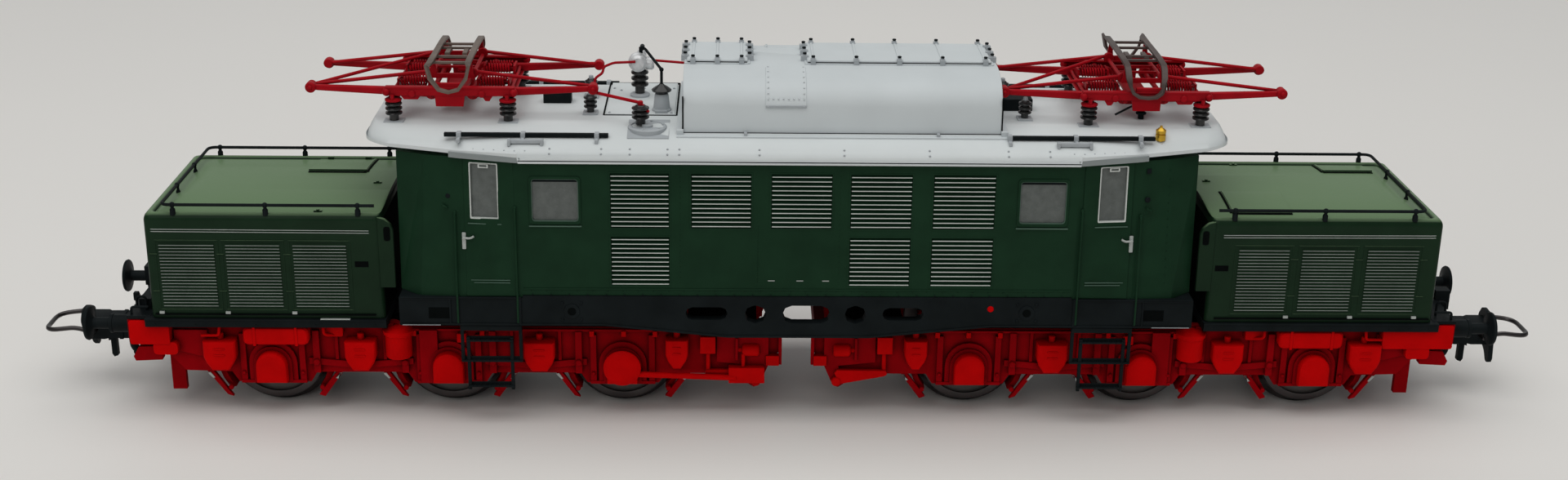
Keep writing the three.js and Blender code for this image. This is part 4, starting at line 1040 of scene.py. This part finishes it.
def hood(end):
    turn, body = ENDS[end], f"bogie_{end}"
    rear, front = HOOD_X
    shell = Piece(f"hood_{end}_shell", HOOD_GREEN, body, "hood_green", turn)
    rings = []
    for inset, z in HOOD_PROFILE:
        nose = min(inset, 1.6) + max(0.0, inset - 1.6) * 0.45
        rings.append(hood_ring(HOOD_Y - inset, rear, front - nose, z, 0.9))
    shell.rings(rings)
    for side in (-1, 1):
        ear = [(59.4, 21.0), (61.6, 21.0), (61.6, 31.9), (60.6, 31.6), (59.7, 30.8), (59.4, 30.0)]
        shell.prism("y", side * 13.9, side * 14.6, ear)
        # frames round the louvre doors
        for x0, x1 in HOOD_PANELS[end]:
            shell.box(x0 - 0.5, x1 + 0.5, side * 14.5, side * 14.68, 17.2, 17.45)
            shell.box(x0 - 0.5, x1 + 0.5, side * 14.5, side * 14.68, 28.1, 28.3)
            for x in (x0 - 0.45, x1 + 0.45):
                shell.box(x - 0.12, x + 0.12, side * 14.5, side * 14.66, 17.2, 28.3)
    shell.build(f"hood_{end}", bevel=0.05, angle=40)

    slats = Piece(f"hood_louvres_{end}", HOOD_GREEN, body, "hood_green", turn)
    edges = Piece(f"hood_louvre_edges_{end}", DIM_SILVER, body, "switch_silver", turn)
    trims = Piece(f"hood_trims_{end}", SILVER, body, "switch_silver", turn)
    dark = Piece(f"hood_openings_{end}", DEEP, body, "frame_black", turn)
    green = Piece(f"hood_fittings_{end}", HOOD_GREEN, body, "hood_green", turn)
    for side in (-1, 1):
        for x0, x1 in HOOD_PANELS[end]:
            louvres(slats, edges, x0, x1, 17.8, 27.8, HOOD_Y, side, 20, -0.12, 0.15)
            trims.box(x1 - 0.1, x1 + 0.6, side * 14.6, side * 14.9, 16.8, 17.15)
            for z in (20.3, 26.1):
                green.rod((x1 + 0.2, side * 14.68, z), (x1 + 1.3, side * 14.68, z), 0.07, sides=6)
        for z in (29.5, 29.86):
            path = [(62.9, side * 14.64, z), (front - 0.9, side * 14.64, z + 0.1),
                    (front + 0.04, side * 13.6, z + 0.1), (front + 0.06, 0, z + 0.1)]
            trims.tube(fillet(path, 0.8), 0.05, 6)
        dark.rod((62.5, side * 14.75, 16.7), (95.0, side * 14.75, 16.7), 0.14, sides=8)
        slot = 63.2 if end == "a" else 62.0
        dark.box(slot, slot + 2.0, side * 14.4, side * 14.63, 24.2, 25.1)
        dark.prism("y", side * 14.4, side * 14.64, round_rect(59.8, 60.75, 28.3, 30.5, 0.4))
    dark.box(rear - 0.06, rear + 0.1, -13.8, 13.8, 16.2, 30.9)
    # lamps and handrail on the nose
    lamps = Piece(f"hood_lamp_rims_{end}", BLACK, body, "frame_black", turn)
    glass = Piece(f"hood_lamp_glass_{end}", SILVER, body, "switch_silver", turn)
    for y in (-10.2, 10.2):
        lamps.lathe((front, y, 18.6), "x", ((0, -0.3), (1.35, -0.3), (1.45, 0.0), (1.45, 0.7),
                                            (1.2, 0.85), (1.1, 0.6), (0, 0.6)), 24)
        glass.lathe((front, y, 18.6), "x", ((0, 0.5), (1.12, 0.5), (0.9, 0.72), (0, 0.8)), 24)
    lamps.build()
    glass.build()
    green.tube(fillet([(front, -6.5, 25.0), (front + 0.6, -6.5, 25.0), (front + 0.6, 6.5, 25.0),
                       (front, 6.5, 25.0)], 0.4), 0.16)
    for y in (-5.0, 5.0):
        green.box(front - 0.1, front + 0.12, y - 3.2, y + 3.2, 19.0, 23.5)
    slats.build(angle=25)
    edges.build()
    trims.build()
    dark.build()
    hood_lids(end, green, turn)
    green.build(bevel=0.05)
    railing(end, turn, body)


def hood_lids(end, green, turn):
    """Raised hatches and small fittings on the hood roof; end a's are laid out unlike end b's."""
    shade = Piece(f"hood_lid_shadows_{end}", DEEP, f"bogie_{end}", "frame_black", turn)

    def strip(piece, x0, x1, y0, y1, low, high):
        rows = [lerp(y0, y1, k / 5) for k in range(6)]
        outline = [(y, hood_z(y) + low) for y in rows] + [(y, hood_z(y) + high) for y in rows[::-1]]
        piece.prism("x", x0, x1, outline)

    def lid(x0, x1, y0, y1):
        x0, x1 = sorted((x0 * turn, x1 * turn))
        near, far = sorted((y0 * turn, y1 * turn), key=lambda y: y * turn)
        strip(green, x0, x1, near, far, -0.15, 0.16)
        # painted shadow: dark strips along the lid's near side and one end
        strip(shade, x0, x1, near - 0.4 * turn, near + 0.1 * turn, -0.1, 0.12)
        strip(shade, x0 - 0.3, x0 + 0.1, near, far, -0.1, 0.12)
        strip(green, x0, x1, near + 0.1 * turn, near + 0.5 * turn, -0.1, 0.4)
        strip(green, x0 + 0.1, x0 + 0.45, near, far, -0.1, 0.26)

    if end == "a":
        lid(-75.1, -66.2, 3.8, 13.1)
        for x in (-73.5, -67.6):
            green.box(x * turn - 0.5, x * turn + 0.4, 12.6 * turn, 13.0 * turn, 32.0, 32.6)
    else:
        lid(83.4, 91.2, 7.0, 12.4)
        lid(64.6, 73.6, -11.6, -3.6)
    for x, y in ((63.6, 1.6), (70.5, 12.6)):
        green.box(x - 0.6, x + 0.6, y - 0.2, y + 0.2, hood_z(y) - 0.1, hood_z(y) + 0.22)
        green.rod((x, y, hood_z(y)), (x, y, hood_z(y) + 0.4), 0.25, sides=8)
    shade.build()


def railing(end, turn, body):
    rail = Piece(f"hood_rail_{end}_bars", BLACK, body, "trim_black", turn)
    y, z = 14.2, 33.6
    rear, front = 62.0, 92.9
    path = [(rear, -y, z), (front, -y, z), (front, y, z), (rear, y, z)]
    rail.tube(fillet(path, 1.3, 6), 0.24, 10)
    for x in (64.4, 77.8, 91.2):
        for side in (-1, 1):
            foot = hood_z(y - 0.3)
            rail.lathe((x, side * (y - 0.05), 0), "z", ((0, foot - 0.3), (0.42, foot - 0.3),
                                                        (0.42, foot + 0.5), (0.24, foot + 0.8),
                                                (0.24, z - 0.3), (0, z - 0.3)), 10)
            rail.ball((x, side * y, z), 0.42, 12)
    for py in (-5.0, 5.0):
        rail.lathe((front - 0.1, py, 0), "z", ((0, 31.6), (0.34, 31.6), (0.34, 32.6), (0.2, 32.9),
                                               (0.2, z), (0, z)), 10)
        rail.ball((front, py, z), 0.38, 12)
    rail.build(f"hood_rail_{end}")


# ---------------------------------------------------------------- bogies
def side_plate():
    """Outline of a bogie's side plate, seen from the side."""
    low, dip = 6.4, 4.8
    outline = [(2.6, 12.6), (2.6, 10.0), (4.2, 8.2), (5.6, 6.6), (8.0, low)]
    for x in AXLES:
        outline += [(x - 6.4, low), (x - 5.4, dip), (x + 5.4, dip), (x + 6.4, low)]
    return outline + [(92.0, 6.6), (94.0, 9.0), (98.0, 10.6), (98.6, 14.6), (60.2, 14.6), (59.0, 13.9),
                      (3.0, 13.9)]


def bogie(end):
    turn, body = ENDS[end], f"bogie_{end}"
    # painted shade: the plates take the darker copy of the red, the boxes the lit one
    red = Piece(f"bogie_{end}_frame", RED_IN_SHADE, body, "bogie_red", turn)
    bright = Piece(f"bogie_{end}_boxes", RED, body, "bogie_red", turn)
    shadow = Piece(f"bogie_{end}_inner", DEEP, body, "frame_black", turn)
    # painted highlight: silver slivers on the brake straps
    glints = Piece(f"bogie_{end}_strap_glints", SILVER, body, "switch_silver", turn)
    for side in (-1, 1):
        red.prism("y", side * 11.2, side * 12.3, side_plate())
        red.box(3.6, 58.6, side * 12.2, side * 12.9, 13.35, 13.7)
        red.box(60.4, 98.0, side * 12.2, side * 12.9, 14.1, 14.5)
        for x in AXLES:
            axlebox(red, bright, x, side)
        for x, half, low in ((18.0, 1.7, 8.0), (38.6, 2.3, 7.5), (65.3, 2.3, 7.5), (86.2, 2.4, 7.5)):
            sandbox(bright, x, half, low, side)
        for a, b in zip(AXLES, AXLES[1:]):
            between_axles(red, a, b, side)
        for x in AXLES:
            for way in (-1, 1):
                brake(red, glints, x, way, side)
        outer_end(red, bright, side, end)
        inner_gear(red, bright, side, end)
        for x in (21.3, 26.0, 30.8, 47.2, 57.4):
            bright.box(x - 0.35, x + 0.35, side * 12.2, side * 13.1, 12.6, 13.5)
    red.box(2.8, 4.4, -12.0, 12.0, 10.4, 13.8)
    red.box(37.6, 41.0, -12.0, 12.0, 13.95, 15.3)
    red.box(63.6, 67.0, -12.0, 12.0, 13.95, 14.6)
    red.prism("x", 97.5, BEAM_X, round_rect(-14.0, 14.0, 12.2, 15.6, 0.4))
    red.box(92.6, 98.0, -3.0, 3.0, 12.2, 13.6)
    red.rod((94.0, 0, 6.9), (94.0, 0, 12.6), 0.85)
    red.box(88.5, 97.0, -12.0, 12.0, 13.8, 14.3)
    red.build(f"bogie_frame_{end}", bevel=0.08)
    bright.build(bevel=0.1)
    glints.build(bevel=0.03)
    for x0, x1 in ((6.0, 16.5), (33.5, 36.5), (42.0, 45.0), (59.8, 63.0), (68.4, 71.0), (86.5, 92.0)):
        shadow.box(x0, x1, -10.4, 10.4, 8.6, 13.2)
    shadow.build(bevel=0.1)
    board = Piece(f"running_board_{end}_edge", BLACK, body, "trim_black", turn)
    for side in (-1, 1):
        board.box(61.0, 96.6, side * 14.6, side * 15.1, 14.75, 15.95)
        board.box(61.0, 96.6, side * 14.5, side * 15.25, 15.8, 16.02)
        for k in range(12):
            board.ball((62.6 + k * 2.95, side * 15.08, 15.2), 0.13, 6)
    if end == "a":
        strip = Piece("running_board_strip", SILVER, body, "switch_silver", turn)
        for side in (-1, 1):
            strip.box(66.3, 70.7, side * 14.75, side * 15.2, 16.0, 16.14)
        strip.build(bevel=0.03)
    board.box(96.0, 99.6, -14.0, 14.0, 15.55, 16.05)
    board.build(bevel=0.04)
    cad(f"running_board_{end}", BLACK, 0.1)
    cad(f"gearbox_{end}", ZINC, 0.3)
    for k, side in ((1, -1), (2, 1)):
        buffer(end, k, side)
    coupler(end)
    for k, x in enumerate(AXLES, 1):
        wheelset(end, k, x)
    hoses(end)


def arch(x, half, top, bottom, steps=12):
    """An outline with an upright-sided foot and a half-round head."""
    centre = top - half
    head = [(x + half * math.cos(math.pi * i / steps), centre + half * math.sin(math.pi * i / steps))
            for i in range(steps + 1)]
    return [(x + half, bottom)] + head + [(x - half, bottom)]


def axlebox(plate, cover, x, side):
    """A domed axlebox cover in an arched guide, over a flat keep."""
    plate.prism("y", side * 12.2, side * 13.3, arch(x, 2.85, 10.9, 5.3))
    plate.prism("y", side * 12.0, side * 12.9, arch(x, 3.6, 11.7, 4.9))
    rings = []
    for half, top, bottom, y in ((2.3, 10.35, 5.45, 13.2), (2.3, 10.35, 5.45, 14.35),
                                 (2.2, 10.25, 5.55, 14.6), (1.95, 10.0, 5.8, 14.75),
                                 (1.7, 9.75, 6.05, 14.8)):
        rings.append([(px, side * y, pz) for px, pz in arch(x, half, top, bottom, 16)])
    cover.rings(rings)
    plate.box(x - 4.9, x + 4.9, side * 12.2, side * 13.0, 4.85, 5.35)
    for dx in (-4.4, 4.4):
        plate.box(x + dx - 0.45, x + dx + 0.45, side * 12.2, side * 12.9, 5.3, 12.8)
        plate.rod((x + dx, side * 12.8, 6.6), (x + dx, side * 13.25, 6.6), 0.28, sides=6)


def sandbox(piece, x, half, low, side):
    """A shield-shaped sand box with two ribs on its face and a filler neck."""
    top = low + 4.7
    shape = [(half, top), (half, low + 2.2), (half - 0.35, low + 1.2), (half - 1.15, low)]
    outline = [(x - reach, z) for reach, z in shape] + [(x + reach, z) for reach, z in reversed(shape)]
    inner = [(x + (px - x) * 0.9, lerp(pz, low + 2.6, 0.08)) for px, pz in outline]
    piece.rings([[(px, side * 12.2, pz) for px, pz in outline],
                 [(px, side * 14.4, pz) for px, pz in outline],
                 [(px, side * 14.65, pz) for px, pz in inner]])
    for dz in (2.4, 3.4):
        piece.box(x - half * 0.35, x + half * 0.35, side * 14.5, side * 14.75, low + dz, low + dz + 0.22)
    piece.rod((x, side * 13.2, top - 0.1), (x, side * 13.2, top + 1.0), 0.5)


def between_axles(piece, a, b, side):
    """Equalising beams, hangers and the ribs that stiffen the plate between two axles."""
    m = (a + b) / 2
    piece.prism("y", side * 12.2, side * 12.8, [(a + 5.4, 8.9), (m, 8.2), (b - 5.4, 8.9), (b - 5.4, 7.9),
                                                (m, 7.2), (a + 5.4, 7.9)])
    for x in (a + 6.6, b - 6.6):
        piece.box(x - 0.5, x + 0.5, side * 12.2, side * 13.1, 6.6, 13.4)
        piece.rod((x, side * 13.0, 8.4), (x, side * 13.5, 8.4), 0.5)
    for x in (m - 3.6, m + 3.6):
        piece.box(x - 0.25, x + 0.25, side * 12.2, side * 12.7, 8.6, 13.4)


def brake(piece, glints, x, way, side):
    """A hanger, a curved shoe and a slanting strap with its round pin, beside one wheel."""
    arc = []
    for k in range(6):
        a = math.radians(-38 + 12 * k)
        arc.append((x + way * 8.0 * math.cos(a), AXLE_Z + 8.0 * math.sin(a)))
    back = [(px + way * 0.9, pz) for px, pz in reversed(arc)]
    piece.prism("y", side * 8.3, side * 11.0, arc + back)
    top, foot = x + way * 9.9, x + way * 6.9
    piece.prism("y", side * 11.3, side * 12.0, [(top - 0.5, 6.6), (top + 0.5, 6.6), (foot + 0.55, 2.5),
                                                (foot - 0.35, 2.2)])
    piece.rod((foot, side * 8.4, 3.6), (foot, side * 12.0, 3.6), 0.4)
    # painted highlight: a silver sliver on the strap's upper end
    glints.prism("y", side * 12.0, side * 12.08, [(top - 0.15, 6.2), (top + 0.3, 6.1),
                                                 (top - way * 0.5, 5.2), (top - way * 0.8, 5.3)])


def outer_end(plate, bright, side, end):
    """Beam stay, tank, guard iron, rail guard and pipes near the buffer beam."""
    rear = 93.4 if end == "a" else 88.6
    bright.prism("y", side * 12.2, side * 14.3, round_rect(rear, 99.3, 11.6, 15.4, 0.4))
    bright.prism("y", side * 12.0, side * 14.2, round_rect(92.4, 96.0, 9.9, 11.9, 0.7))
    plate.prism("y", side * 11.4, side * 12.8, [(95.0, 10.8), (95.2, 8.5), (99.2, 8.3), (99.5, 9.0),
                                                (98.6, 10.6)])
    plate.box(92.9, 95.0, side * 8.6, side * 9.6, 2.3, 8.8)
    plate.prism("y", side * 12.0, side * 12.9, [(88.2, 13.4), (93.2, 13.4), (93.2, 10.2), (89.6, 9.2),
                                                (88.2, 9.2)])
    tank = round_rect(72.8, 82.5, 11.7, 14.5, 0.9)
    bright.rings([[(x, side * y, z) for x, z in tank] for y in (12.2, 14.4)]
                 + [[(77.65 + (x - 77.65) * 0.95, side * 14.7, 13.1 + (z - 13.1) * 0.84) for x, z in tank]])
    for x in (74.6, 80.8):
        bright.box(x - 0.22, x + 0.22, side * 12.4, side * 14.78, 11.6, 14.6)
    bright.tube(fillet([(88.8, side * 14.0, 13.0), (86.2, side * 14.0, 13.0), (86.0, side * 14.0, 14.6)],
                       0.4), 0.24)
    bright.tube(fillet([(70.6, side * 14.0, 14.6), (70.6, side * 14.0, 13.2), (69.2, side * 13.2, 12.8)],
                       0.5), 0.24)
    bright.prism("y", side * 12.2, side * 13.4, round_rect(67.9, 70.6, 12.6, 14.4, 0.3))
    bright.lathe((59.7, side * 12.9, 0), "z", ((0, 9.4), (1.9, 9.4), (2.0, 9.7), (2.0, 12.9), (2.2, 13.1),
                                               (2.3, 13.7), (1.9, 14.0), (1.2, 14.2),
                                         (0, 14.2)), 28)
    plate.box(53.9, 56.6, side * 12.2, side * 13.2, 5.0, 13.6)
    bright.box(49.6, 50.9, side * 12.2, side * 13.6, 11.8, 13.2)


def inner_gear(plate, bright, side, end):
    """Brake cylinder, bell crank, pull rod and boxes at a bogie's inner end."""
    y = side * 12.9
    plate.box(2.2, 2.7, y - side * 0.6, y + side * 0.3, 8.2, 13.8)
    bright.box(2.6, 4.6, y - side * 0.7, y + side * 0.5, 8.1, 9.7)
    plate.prism("y", y - side * 0.7, y + side * 0.2, [(4.2, 13.6), (4.2, 8.1), (5.6, 4.8), (6.4, 4.5),
                                                      (7.2, 5.0), (6.4, 8.0), (12.0, 8.6),
                                               (12.0, 13.6)])
    bright.prism("y", y - side * 0.1, y + side * 0.7, [(5.8, 7.0), (6.6, 5.2), (13.4, 6.5), (13.8, 6.8),
                                                       (13.6, 7.4), (6.2, 7.5)])
    bright.rod((6.1, y - side * 0.4, 5.6), (6.1, y + side * 0.9, 5.6), 0.75, sides=16)
    bright.rod((5.6, y, 10.6), (8.2, y, 10.6), 1.05, sides=18)
    bright.rod((8.1, y, 10.6), (9.0, y, 10.6), 0.45, sides=12)
    plate.box(8.8, 9.2, y - side * 0.3, y + side * 0.6, 9.0, 12.6)
    bright.box(12.2, 14.5, y - side * 0.6, y + side * 0.9, 10.2, 12.9)
    bright.rod((13.3, y + side * 0.1, 10.3), (13.3, y + side * 0.1, 7.0), 0.33)
    plate.box(4.6, 12.0, side * 12.4, side * 13.2, 12.9, 13.6)
    if end == "a":
        # the driven end's pull rod runs on to the first axlebox, which has a round cover
        bright.rod((24.6, side * 14.4, 7.1), (9.0, side * 14.0, 6.4), 0.45)
        bright.box(4.8, 10.2, side * 12.6, side * 14.3, 5.6, 8.1)
        bright.rod((8.0, side * 13.6, 8.0), (8.0, side * 13.6, 10.2), 0.3)
        bright.lathe((AXLES[0], side * 14.5, 8.2), "y", ((0, 0), (2.8, 0), (2.85, 0.3 * side),
                                                         (2.5, 0.55 * side),
                                                    (1.5, 0.8 * side), (0, 0.9 * side)), 28)


def buffer(end, k, side):
    turn, body = ENDS[end], f"bogie_{end}"
    p = Piece(f"buffer_{end}_{k}_turned", BLACK, body, "trim_black", turn)
    at = (BEAM_X, side * 10.06, 13.3)
    p.lathe(at, "x", ((0, 0.05), (1.6, 0.05), (1.6, 0.5), (1.35, 0.7), (1.35, 3.2), (1.45, 3.3),
                      (1.45, 3.7), (1.2, 3.8), (0.85, 3.85), (0.85, 6.3), (1.3, 6.55), (2.5, 6.75),
                      (2.6, 6.95), (2.5, 7.2), (1.4, 7.35), (0, 7.39)), 36)
    x, y, z = at
    p.prism("x", x + 0.02, x + 0.45, round_rect(y - 1.75, y + 1.75, 11.7, 14.9, 0.35))
    for dy in (-1.35, 1.35):
        for dz in (-1.2, 1.2):
            p.rod((x + 0.3, y + dy, z + dz), (x + 0.8, y + dy, z + dz), 0.24, sides=6)
    p.build(f"buffer_{end}_{k}")


def coupler(end):
    turn = ENDS[end]
    p = Piece(f"coupler_shank_{end}_moulding", BLACK, f"coupler_{end}", "trim_black", turn)
    p.lathe((94.0, 0, 0), "z", ((0, 7.9), (2.1, 7.9), (2.2, 8.1), (2.2, 9.9), (2.1, 10.1), (0, 10.1)), 28)
    p.prism("z", 7.4, 10.6, round_rect(94.0, 107.0, -1.9, 1.9, 0.4))
    for x in (96.6, 98.6, 100.6, 102.6, 104.6):
        p.box(x - 0.3, x + 0.3, -2.05, 2.05, 7.3, 10.7)
    p.rings([[(x, y, z) for y, z in round_rect(-h, h, low, top, 0.3)]
             for x, h, low, top in ((106.6, 1.85, 7.3, 10.6), (107.2, 2.0, 7.2, 10.8),
                                    (109.7, 2.0, 7.2, 10.8))])
    plate = [(-3.5, 4.8), (-2.3, 4.6), (-1.4, 6.0), (2.0, 8.0), (2.8, 10.7), (1.6, 12.3), (-0.2, 12.2),
             (-2.4, 11.1), (-3.0, 9.0)]
    soft = [(y, z) for y, z, _ in fillet([(y, z, 0) for y, z in plate], 0.5, 4, True)]
    inner = [(y * 0.93, 9.0 + (z - 9.0) * 0.93) for y, z in soft]
    p.rings([[(109.6, y, z) for y, z in soft], [(110.2, y, z) for y, z in soft],
             [(110.4, y, z) for y, z in inner]])
    p.prism("y", -0.5, 0.5, [(105.9, 7.6), (106.8, 7.6), (106.8, 4.2), (106.5, 3.7), (105.9, 3.9)])
    p.prism("y", -0.9, 0.9, [(105.7, 7.6), (107.0, 7.6), (107.0, 6.6), (105.7, 6.9)])
    p.build(f"coupler_shank_{end}", bevel=0.06)
    wire = Piece(f"coupler_loop_{end}_wire", STEEL, f"loop_{end}", "loop_steel", turn)
    path = [(108.4, -3.6, 9.0), (110.8, -3.6, 9.9), (115.7, -3.6, 9.35), (115.7, 3.6, 9.35),
            (110.8, 3.6, 9.9), (108.4, 3.6, 9.0)]
    wire.tube(fillet(path, 2.4, 6, True), 0.36, 10, closed=True)
    wire.rod((108.4, -3.9, 9.0), (108.4, 3.9, 9.0), 0.3)
    wire.build(f"coupler_loop_{end}")


def hoses(end):
    turn, body = ENDS[end], f"bogie_{end}"
    p = Piece(f"beam_hoses_{end}", BLACK, body, "trim_black", turn)
    for side in (-1, 1):
        for y, drop in ((4.5, 5.6), (6.2, 4.9)):
            y *= side
            path = [(99.3, y, 13.6), (101.0, y, 13.5), (101.8, y, 12.0), (101.6, y, 12.8 - drop),
                    (101.0, y, 12.0 - drop)]
            p.tube(fillet(path, 0.9, 5), 0.38, 10)
            p.rod((101.1, y, 12.2 - drop), (100.7, y, 11.2 - drop), 0.55)
            p.rod((99.4, y, 13.6), (100.1, y, 13.6), 0.6)
        p.tube(fillet([(97.2, side * 11.5, 16.0), (97.2, side * 11.5, 18.2), (98.6, side * 11.5, 18.2),
                       (98.6, side * 11.5, 16.6)], 0.6), 0.2)
        p.tube(fillet([(99.0, side * 13.2, 15.4), (99.0, side * 13.2, 17.2), (96.4, side * 13.2, 17.2)],
                      0.5), 0.2)
    p.box(99.3, 101.6, -5.0, -3.0, 14.4, 17.5)
    p.lathe((100.4, -4.0, 0), "z", ((0.5, 13.6), (1.1, 13.6), (1.2, 14.3), (1.2, 14.9), (0.5, 14.9),
                                    (0.5, 13.6)), 16)
    p.box(96.6, 98.4, 9.0, 11.0, 15.9, 17.6)
    hook = [(99.4, 14.6), (99.4, 12.6), (101.6, 12.6), (102.6, 13.2), (102.6, 14.4), (101.9, 14.4),
            (101.7, 13.6), (101.0, 13.9)]
    p.prism("y", -0.45, 0.45, hook)
    p.build(bevel=0.05)
    silver = Piece(f"beam_fittings_{end}", SILVER, body, "switch_silver", turn)
    silver.ball((99.8, -7.9, 15.2), 0.45)
    silver.ball((99.8, 7.9, 15.2), 0.45)
    silver.build()


def wheelset(end, k, x):
    """Spoked wheels with flanges on an axle, and the driven gear between them."""
    turn, body = ENDS[end], f"wheels_{end}{k}"
    at = (x, 0, AXLE_Z)
    centre = Piece(f"wheelset_{end}{k}_centre", RED, body, "bogie_red", turn)
    tyre = Piece(f"wheelset_{end}{k}_tyre", STEEL, body, "wheel_steel", turn)
    tread = Piece(f"wheelset_{end}{k}_tread", TREAD, body, "wheel_steel", turn)
    for s in (-1, 1):
        rim = [(6.1, 7.25), (7.4, 7.2), (8.1, 7.3), (8.28, 7.5), (8.28, 7.65), (7.9, 7.95), (7.35, 8.15),
               (7.2, 8.35), (7.16, 9.7), (7.05, 9.95), (6.9, 10.0), (6.1, 9.95)]
        tyre_rings(tyre, at, [(r, h * s) for r, h in rim])
        tread.lathe(at, "y", [(7.13, 8.5 * s), (7.22, 8.55 * s), (7.21, 9.5 * s), (7.13, 9.55 * s)], 64)
        centre.lathe(at, "y", [(0, 7.4 * s), (1.7, 7.4 * s), (1.8, 7.6 * s), (1.8, 9.6 * s),
                               (1.5, 9.9 * s), (0.9, 10.0 * s), (0.9, 10.5 * s), (0.7, 10.68 * s),
                               (0, 10.7 * s)], 24)
        for i in range(12):
            a = 2 * math.pi * i / 12
            ca, sa = math.cos(a), math.sin(a)
            spoke = []
            for r, w in ((1.5, 0.5), (6.3, 0.34)):
                spoke.append([(x + r * ca - t * w * sa, s * h, AXLE_Z + r * sa + t * w * ca)
                              for t, h in ((-1, 8.2), (1, 8.2), (0.6, 9.3), (-0.6, 9.3))])
            centre.rings(spoke)
    axle = Piece(f"wheelset_{end}{k}_axle", STEEL, body, "wheel_steel", turn)
    axle.lathe(at, "y", ((0, -7.5), (0.95, -7.5), (0.95, 7.5), (0, 7.5)), 20)
    teeth = 26
    gear = []
    for i in range(teeth * 4):
        r = 3.4 if i % 4 in (1, 2) else 2.9
        a = 2 * math.pi * (i + 0.5) / (teeth * 4)
        gear.append((x + r * math.cos(a), AXLE_Z + r * math.sin(a)))
    axle.prism("y", -1.15, 1.15, gear)
    tyre.build(f"wheelset_{end}{k}")
    tread.build()
    centre.build()
    axle.build()


def tyre_rings(piece, at, profile, sides=64):
    """A closed ring turned about the axle."""
    rings = []
    for i in range(sides):
        a = 2 * math.pi * i / sides
        rings.append([(at[0] + r * math.cos(a), at[1] + h, at[2] + r * math.sin(a)) for r, h in profile])
    piece.rings(rings, closed=True)


# ---------------------------------------------------------------- stage
def stage():
    mat = surface("table", (0.86, 0.84, 0.81), 0.5, shade=0.01, patch=6.0, grain=1500.0, bump=0.02)
    mesh = bpy.data.meshes.new("table_top")
    half = 4.0
    mesh.from_pydata([(-half, -half, 0), (half, -half, 0), (half, half, 0), (-half, half, 0)], [],
                     [(0, 1, 2, 3)])
    mesh.materials.append(mat)
    table = bpy.data.objects.new("table_top", mesh)
    bpy.context.scene.collection.objects.link(table)

    def panel(name, at, look, size, power, color=(1, 1, 1)):
        data = bpy.data.lights.new(name, "AREA")
        data.shape = "RECTANGLE"
        data.size, data.size_y = size
        data.energy = power
        data.color = color
        obj = bpy.data.objects.new(name, data)
        obj.location = at
        obj.rotation_euler = (Vector(look) - Vector(at)).to_track_quat("-Z", "Y").to_euler()
        bpy.context.scene.collection.objects.link(obj)

    panel("overhead", (0.0, -0.10, 0.85), (0, 0, 0), (1.4, 0.9), 6.2, (1.0, 0.995, 0.98))
    panel("backdrop_glow", (0.0, 1.10, 0.42), (0, 0, 0.03), (1.8, 0.7), 1.8, (0.98, 1.0, 0.98))
    panel("front_fill", (-0.25, -0.75, 0.50), (0, 0, 0.02), (0.7, 0.5), 1.4, (1.0, 0.985, 0.96))
    world = bpy.data.worlds.new("studio")
    world.use_nodes = True
    world.node_tree.nodes["Background"].inputs["Color"].default_value = (0.95, 0.97, 1.0, 1)
    world.node_tree.nodes["Background"].inputs["Strength"].default_value = 0.15
    bpy.context.scene.world = world
    bpy.context.scene.view_settings.view_transform = "Standard"


def camera():
    """The viewpoint fitted to the photograph: angles in radians, the eye in millimetres."""
    eye = (-9.56, -287.3, 126.88)
    lens = 45.238125
    yaw, pitch, roll = 0.0272, 0.3452, 0.0144
    cy, sy, cp, sp = math.cos(yaw), math.sin(yaw), math.cos(pitch), math.sin(pitch)
    ahead = Vector((sy * cp, cy * cp, -sp))
    right = Vector((cy, -sy, 0))
    up = right.cross(ahead)
    tilted_right = right * math.cos(roll) + up * math.sin(roll)
    tilted_up = up * math.cos(roll) - right * math.sin(roll)
    data = bpy.data.cameras.new("camera")
    data.sensor_width = 36.0
    data.lens = lens
    data.clip_start = 0.01
    obj = bpy.data.objects.new("camera", data)
    obj.matrix_world = Matrix((
        (tilted_right.x, tilted_up.x, -ahead.x, eye[0] * MM),
        (tilted_right.y, tilted_up.y, -ahead.y, eye[1] * MM),
        (tilted_right.z, tilted_up.z, -ahead.z, eye[2] * MM),
        (0, 0, 0, 1)))
    bpy.context.scene.collection.objects.link(obj)
    bpy.context.scene.camera = obj


camera()
stage()
body_sides()
roof_shell()
machine_roof()
roof_equipment()
bridge()
for each_end in ENDS:
    pantograph(each_end)
    hood(each_end)
    bogie(each_end)
